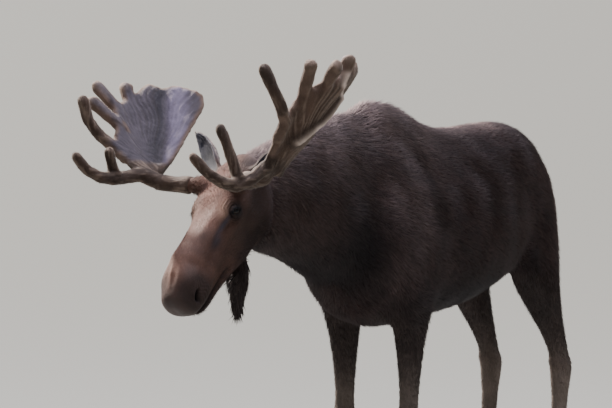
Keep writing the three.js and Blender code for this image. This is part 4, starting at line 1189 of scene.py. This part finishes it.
for side, sign in SIGNS.items():
    random = np.random.default_rng(41 + sign)
    nodes = [f"antler_{side}_{part}" for part in ANTLER_PARTS]
    antler = copied(nodes, f"antler_{side}")
    shaped(antler, "REMESH", mode="VOXEL", voxel_size=ANTLER_GRAIN)
    points, edges = points_of(antler), edges_of(antler)
    points = relaxed(points, edges, 0.5, 16)
    move_points(antler, points)
    points = points + VELVET_DEPTH * normals_of(antler)
    beam_low, beam_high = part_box(f"antler_{side}_beam")
    root = np.array((beam_low + beam_high) / 2)
    told = in_head(points)
    forward, aside, up = PALM_OUTWARD
    outward = forward * np.array(head_forward) + aside * sign * np.array(head_left)
    outward += up * np.array(head_level)
    outward /= np.linalg.norm(outward)
    tree, owner = surface_of(nodes)
    part = np.array([owner[tree.find_nearest(point)[2]] for point in points.tolist()])
    in_palm = part == ANTLER_PARTS.index("palm")
    on_palm = relaxed(in_palm[:, None].astype(float), edges, 0.5, 12)[:, 0]

    # The palm is creased along its fold, and its rim is lobed between the tines.
    line, amount = PALM_FOLDS[side]
    crease = np.exp(-(from_line(told, line, outward)[1] / 0.020) ** 2) * on_palm
    points = points + outward * (amount * crease)[:, None]
    reach = np.linalg.norm(points - root, axis=1)
    far = step(0.55, 0.95, reach / reach[in_palm].max()) * on_palm
    lobes = LOBE_DEPTH * np.sin(told[:, 1] * sign / LOBE_WIDTH) * far
    points = points + unit(points - root) * lobes[:, None]
    if side == "right":
        told = in_head(points)
        corner = np.exp(-(np.linalg.norm(told - CORNER_MIDDLE, axis=1) / 0.10) ** 2)
        told += 0.022 * corner[:, None] * CORNER_WAY
        from_middle = told - CORNER_MIDDLE
        far_out = np.maximum(np.linalg.norm(from_middle, axis=1), 1e-6)
        beyond = step(0.50, 0.72, from_middle @ CORNER_WAY / far_out)
        beyond = beyond * np.maximum(far_out - CORNER_RADIUS, 0)
        told -= from_middle * (beyond / far_out)[:, None]
        points = relaxed(from_head(told), edges, 0.6 * corner, 8)
    move_points(antler, points)
    normals = normals_of(antler)

    # Ribs run along the bone, and fan out over the palm from its hub. The palm's brim is rolled.
    way = growth_way(points, normals, edges, root)
    hub = points[in_palm][reach[in_palm].argmin()]
    rows = np.cross(outward, head_along), np.cross(outward, np.cross(outward, head_along))
    angle = np.arctan2(*((points - hub) @ row for row in rows))
    angle = angle + 0.05 * ripple(points, 0.12)
    waves = random.uniform(22, 120, (VEINS, 1)) * angle + random.uniform(0, 6.3, (VEINS, 1))
    veins = np.sin(waves).sum(0) / 3.5
    fanned = on_palm * step(0.04, 0.10, np.linalg.norm(points - hub, axis=1))
    ribs = streaked(points, edges, way, random, 60)
    ribs += fanned * (veins - ribs)
    fine = streaked(points, edges, way, random, 16)
    bend = ((points - relaxed(points, edges, 0.6, 30)) * normals).sum(1)
    brim = step(0.0022, 0.0060, bend) * on_palm
    rolled = relaxed(brim[:, None], edges, 0.6, 5)[:, 0]
    depth = RIB_DEPTH - 0.0010 * fanned
    points = points + normals * (depth * ribs + FINE_DEPTH * fine + BRIM_ROLL * rolled)[:, None]
    points = relaxed(points, edges, 0.25, 1)
    move_points(antler, points)
    normals = normals_of(antler)

    # Painted light and shade: the palm's inner face is painted as in shade, grey with a painted lilac sky
    # reflection and a dark band of painted shade. Its outer face is brown, with a painted highlight along
    # its crease and pale edges.
    inner = step(0.2, 0.6, -(normals @ outward)) * on_palm
    outer = on_palm * (1 - inner)
    gap, from_fold = from_line(told, line, outward)
    behind = gap @ PALM_BACKWARD
    edge_tree = tree_of(points[(np.abs(normals @ outward) < 0.35) & (on_palm > 0.5)])
    to_edge = np.array([edge_tree.find(point)[2] for point in points])
    # Tines and beams are darker, partly painted shade. Ribs are paler on their ridges and darker in their
    # grooves, partly painted light and shade. The rolled brim is paler, a painted highlight.
    colour = laid_on(plain_colour(VELVET_BROWN, points), [
        (VELVET_DARK_AND_SHADE, 0.75 * (1 - on_palm) + 0.25 * ripple(points, 0.09)),
        (PALM_FACE_SHADE, inner),
        (PALM_LILAC_SKY_SHEEN, inner * step(0.0, 0.035, behind) * (1 - step(0.05, 0.12, behind))),
        (PALM_SHADE_BAND, 0.9 * inner * np.exp(-((behind + 0.020) / 0.030) ** 2)),
        (VELVET_PALE_AND_HIGHLIGHT, (0.30 * step(0.1, 0.9, ribs) + 0.15 * step(0.1, 0.9, fine)) * (1 - 0.93 * inner)),
        (PALM_LILAC_SKY_SHEEN, 0.07 * inner * step(0.0, 0.9, ribs)),
        (VELVET_DARK_AND_SHADE, (0.50 - 0.34 * inner) * step(0.1, 0.9, -ribs)),
        (VELVET_EDGE, 0.95 * on_palm * (1 - step(0.006, 0.026, to_edge))),
        (VELVET_PALE_AND_HIGHLIGHT, 0.3 * brim),
        # Painted shade beside the crease of the outer face, and a painted highlight along it.
        (VELVET_DARK_AND_SHADE, 0.7 * outer * np.exp(-((from_fold - 0.024) / 0.014) ** 2)),
        (FOLD_HIGHLIGHT, outer * np.exp(-(from_fold / 0.0105) ** 2)),
    ])
    # A painted highlight along the left palm's rim.
    if side == "left":
        from_rim = from_line(told, RIM_HIGHLIGHT_LINE, outward)[1]
        colour = laid_on(colour, [(RIM_HIGHLIGHT, 0.9 * outer * np.exp(-(from_rim / 0.012) ** 2))])
    paint(antler, colour)
    keep(antler, "ribs", 0.5 + 0.5 * fine)
    select_only(antler)
    bpy.ops.object.shade_smooth()
    unwrap(antler)
    antler.data.materials.append(velvet.material)
    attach(antler, "root")
    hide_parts(*nodes)

    # The fuzz has pale tips, paler along the brim and faint on the palm's inner face: partly its own pale
    # hair, partly a painted glow of the lit edges.
    roots = Ground(antler, {
        "length": 0.0054 - 0.0020 * inner, "rise": np.full(len(points), 0.75), "lie": way,
        "frost_and_sheen": (0.45 + 0.45 * brim) * (1 - 0.85 * inner), "colour": colour * 1.1,
    }).sown(1.0, FUZZ_TUFTS, random)
    grown(f"velvet_fuzz_{side}", fuzz, roots, random, 0.16, 1, 0.45, frost_and_sheen=FUZZ_TIP_AND_GLOW)

# ---------------------------------------------------------------- eyes
# Wet dark-brown balls, set in the head behind the lids as a mounted animal's glass eyes are. Each
# bulges clear in front of a dark pupil that lies level.

EYE_RADIUS = 0.0222
CORNEA_HALF, CORNEA_RISE = math.radians(38), 0.0018
# The colours of the eye, and how far out from the middle each one lies.
EYE_RINGS = [
    (0.0, (0.002, 0.002, 0.003)), (0.34, (0.003, 0.003, 0.004)),  # pupil
    (0.40, (0.018, 0.009, 0.006)), (0.72, (0.034, 0.017, 0.010)),  # iris
    (0.80, (0.006, 0.004, 0.004)), (1.0, (0.020, 0.012, 0.010)),  # its dark edge and the corners
]

glass = Finish("wet_eye")
streak = glass.noise(glass.place(), 900.0, 3.0)
rings = glass.node("ValToRGB", {"stops": EYE_RINGS}, {0: glass.kept("ring")})
glass.set(
    Base_Color=glass.shaded(rings, 0.6 + 0.8 * streak),
    Roughness=0.07 + 0.06 * streak,
    Specular_IOR_Level=0.32,
)
for side, sign in SIGNS.items():
    select_only(skin)
    bpy.ops.mesh.primitive_uv_sphere_add(segments=40, ring_count=24, radius=EYE_RADIUS, location=eyes[side])
    ball = bpy.context.object
    ball.name = f"eyeball_{side}"
    bpy.ops.object.transform_apply(location=True, rotation=True, scale=True)
    shaped(ball, "SUBSURF", levels=1, render_levels=1)
    centre = np.array(eyes[side])
    gaze = (EYE_OUT * (1, sign, 1)) @ HEAD_AXES
    level = unit(np.cross(gaze, (LID_ACROSS * (1, sign, 1)) @ HEAD_AXES))
    ways = unit(points_of(ball) - centre)
    angle = np.arccos((ways @ gaze).clip(-1, 1))
    bulge = CORNEA_RISE * (1 - step(0.2, 1.0, angle / CORNEA_HALF))
    move_points(ball, centre + ways * (EYE_RADIUS + bulge)[:, None])
    narrowed = np.hypot(ways @ level * 0.78, ways @ np.cross(gaze, level) * 1.30)
    in_pupil = angle < CORNEA_HALF * 0.62
    ring_place = np.where(in_pupil, narrowed * 1.15, angle / CORNEA_HALF * 0.74)
    keep(ball, "ring", ring_place.clip(0, 1))
    bpy.ops.object.shade_smooth()
    ball.data.materials.append(glass.material)
    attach(ball, "root")
    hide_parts(f"eye_{side}")

# ---------------------------------------------------------------- hooves and dewclaws
# Two pointed claws and two dewclaws on each foot, of dark horn that grows in rings. Their tops run
# up inside the leg, under the hair of the coronet.

HORN_DARK, HORN_PALE = (0.020, 0.015, 0.013), (0.085, 0.064, 0.050)
HOOF_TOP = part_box("foreleg_left_hoof_outer")[1].z
HORN_GRAIN = 0.0046
HORN_SWELL, RING_DEPTH, RING_STEP = 0.0008, 0.0007, 0.0075
CORONET_RISE = 0.022

horn = Finish("horn")
plain = horn.place()
rings = horn.noise(horn.place(stretch=(0.12, 0.12, 0.0045)), 1.0, 3.0, 0.6)
grain = horn.noise(horn.place(stretch=(0.0016, 0.0016, 0.05)), 1.0, 3.0, 0.6)
dust = horn.noise(plain, 38.0, 4.0)
wear = horn.spread(horn.node("SeparateXYZ", None, {0: plain}, "Z"), 0.0, 0.05, 0.9, 0.0)
paleness = horn.spread(rings * 0.5 + grain * 0.5 + 0.35 * wear * dust, 0.42, 0.85)
horn.set(
    Base_Color=horn.mixed(paleness, (*HORN_DARK, 1), (*HORN_PALE, 1)),
    Roughness=0.36 + 0.26 * dust,
    Normal=horn.bump(rings * 0.6 + grain * 0.5, 0.0012, 0.6),
)
for leg in LEGS:
    nodes = [f"{leg}_{part}_{place}" for part in ("hoof", "dewclaw") for place in ("outer", "inner")]
    foot = copied(nodes, f"{leg}_hooves")
    shaped(foot, "REMESH", mode="VOXEL", voxel_size=HORN_GRAIN)
    points, edges = points_of(foot), edges_of(foot)
    sole = points[:, 2] < 0.003
    points = relaxed(points, edges, 0.5, 7)
    move_points(foot, points)
    normals = normals_of(foot)
    wall = 1 - np.abs(normals[:, 2])
    height = points[:, 2] + 0.10 * (points[:, 0] - points[:, 0].mean())
    rings = RING_DEPTH * wall * np.sin(height / RING_STEP * 2 * math.pi)
    points += normals * (rings + HORN_SWELL)[:, None]
    claw = points[:, 2] < HOOF_TOP + 0.003
    lifted = np.where(claw, CORONET_RISE * step(0.82 * HOOF_TOP, HOOF_TOP, points[:, 2]), 0)
    points[:, 2] = np.maximum(points[:, 2] + lifted, 0)
    points[sole, 2] = 0
    move_points(foot, points)
    select_only(foot)
    bpy.ops.object.shade_smooth_by_angle(angle=math.radians(50))
    foot.data.materials.append(horn.material)
    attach(foot, "root")
    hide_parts(*nodes)
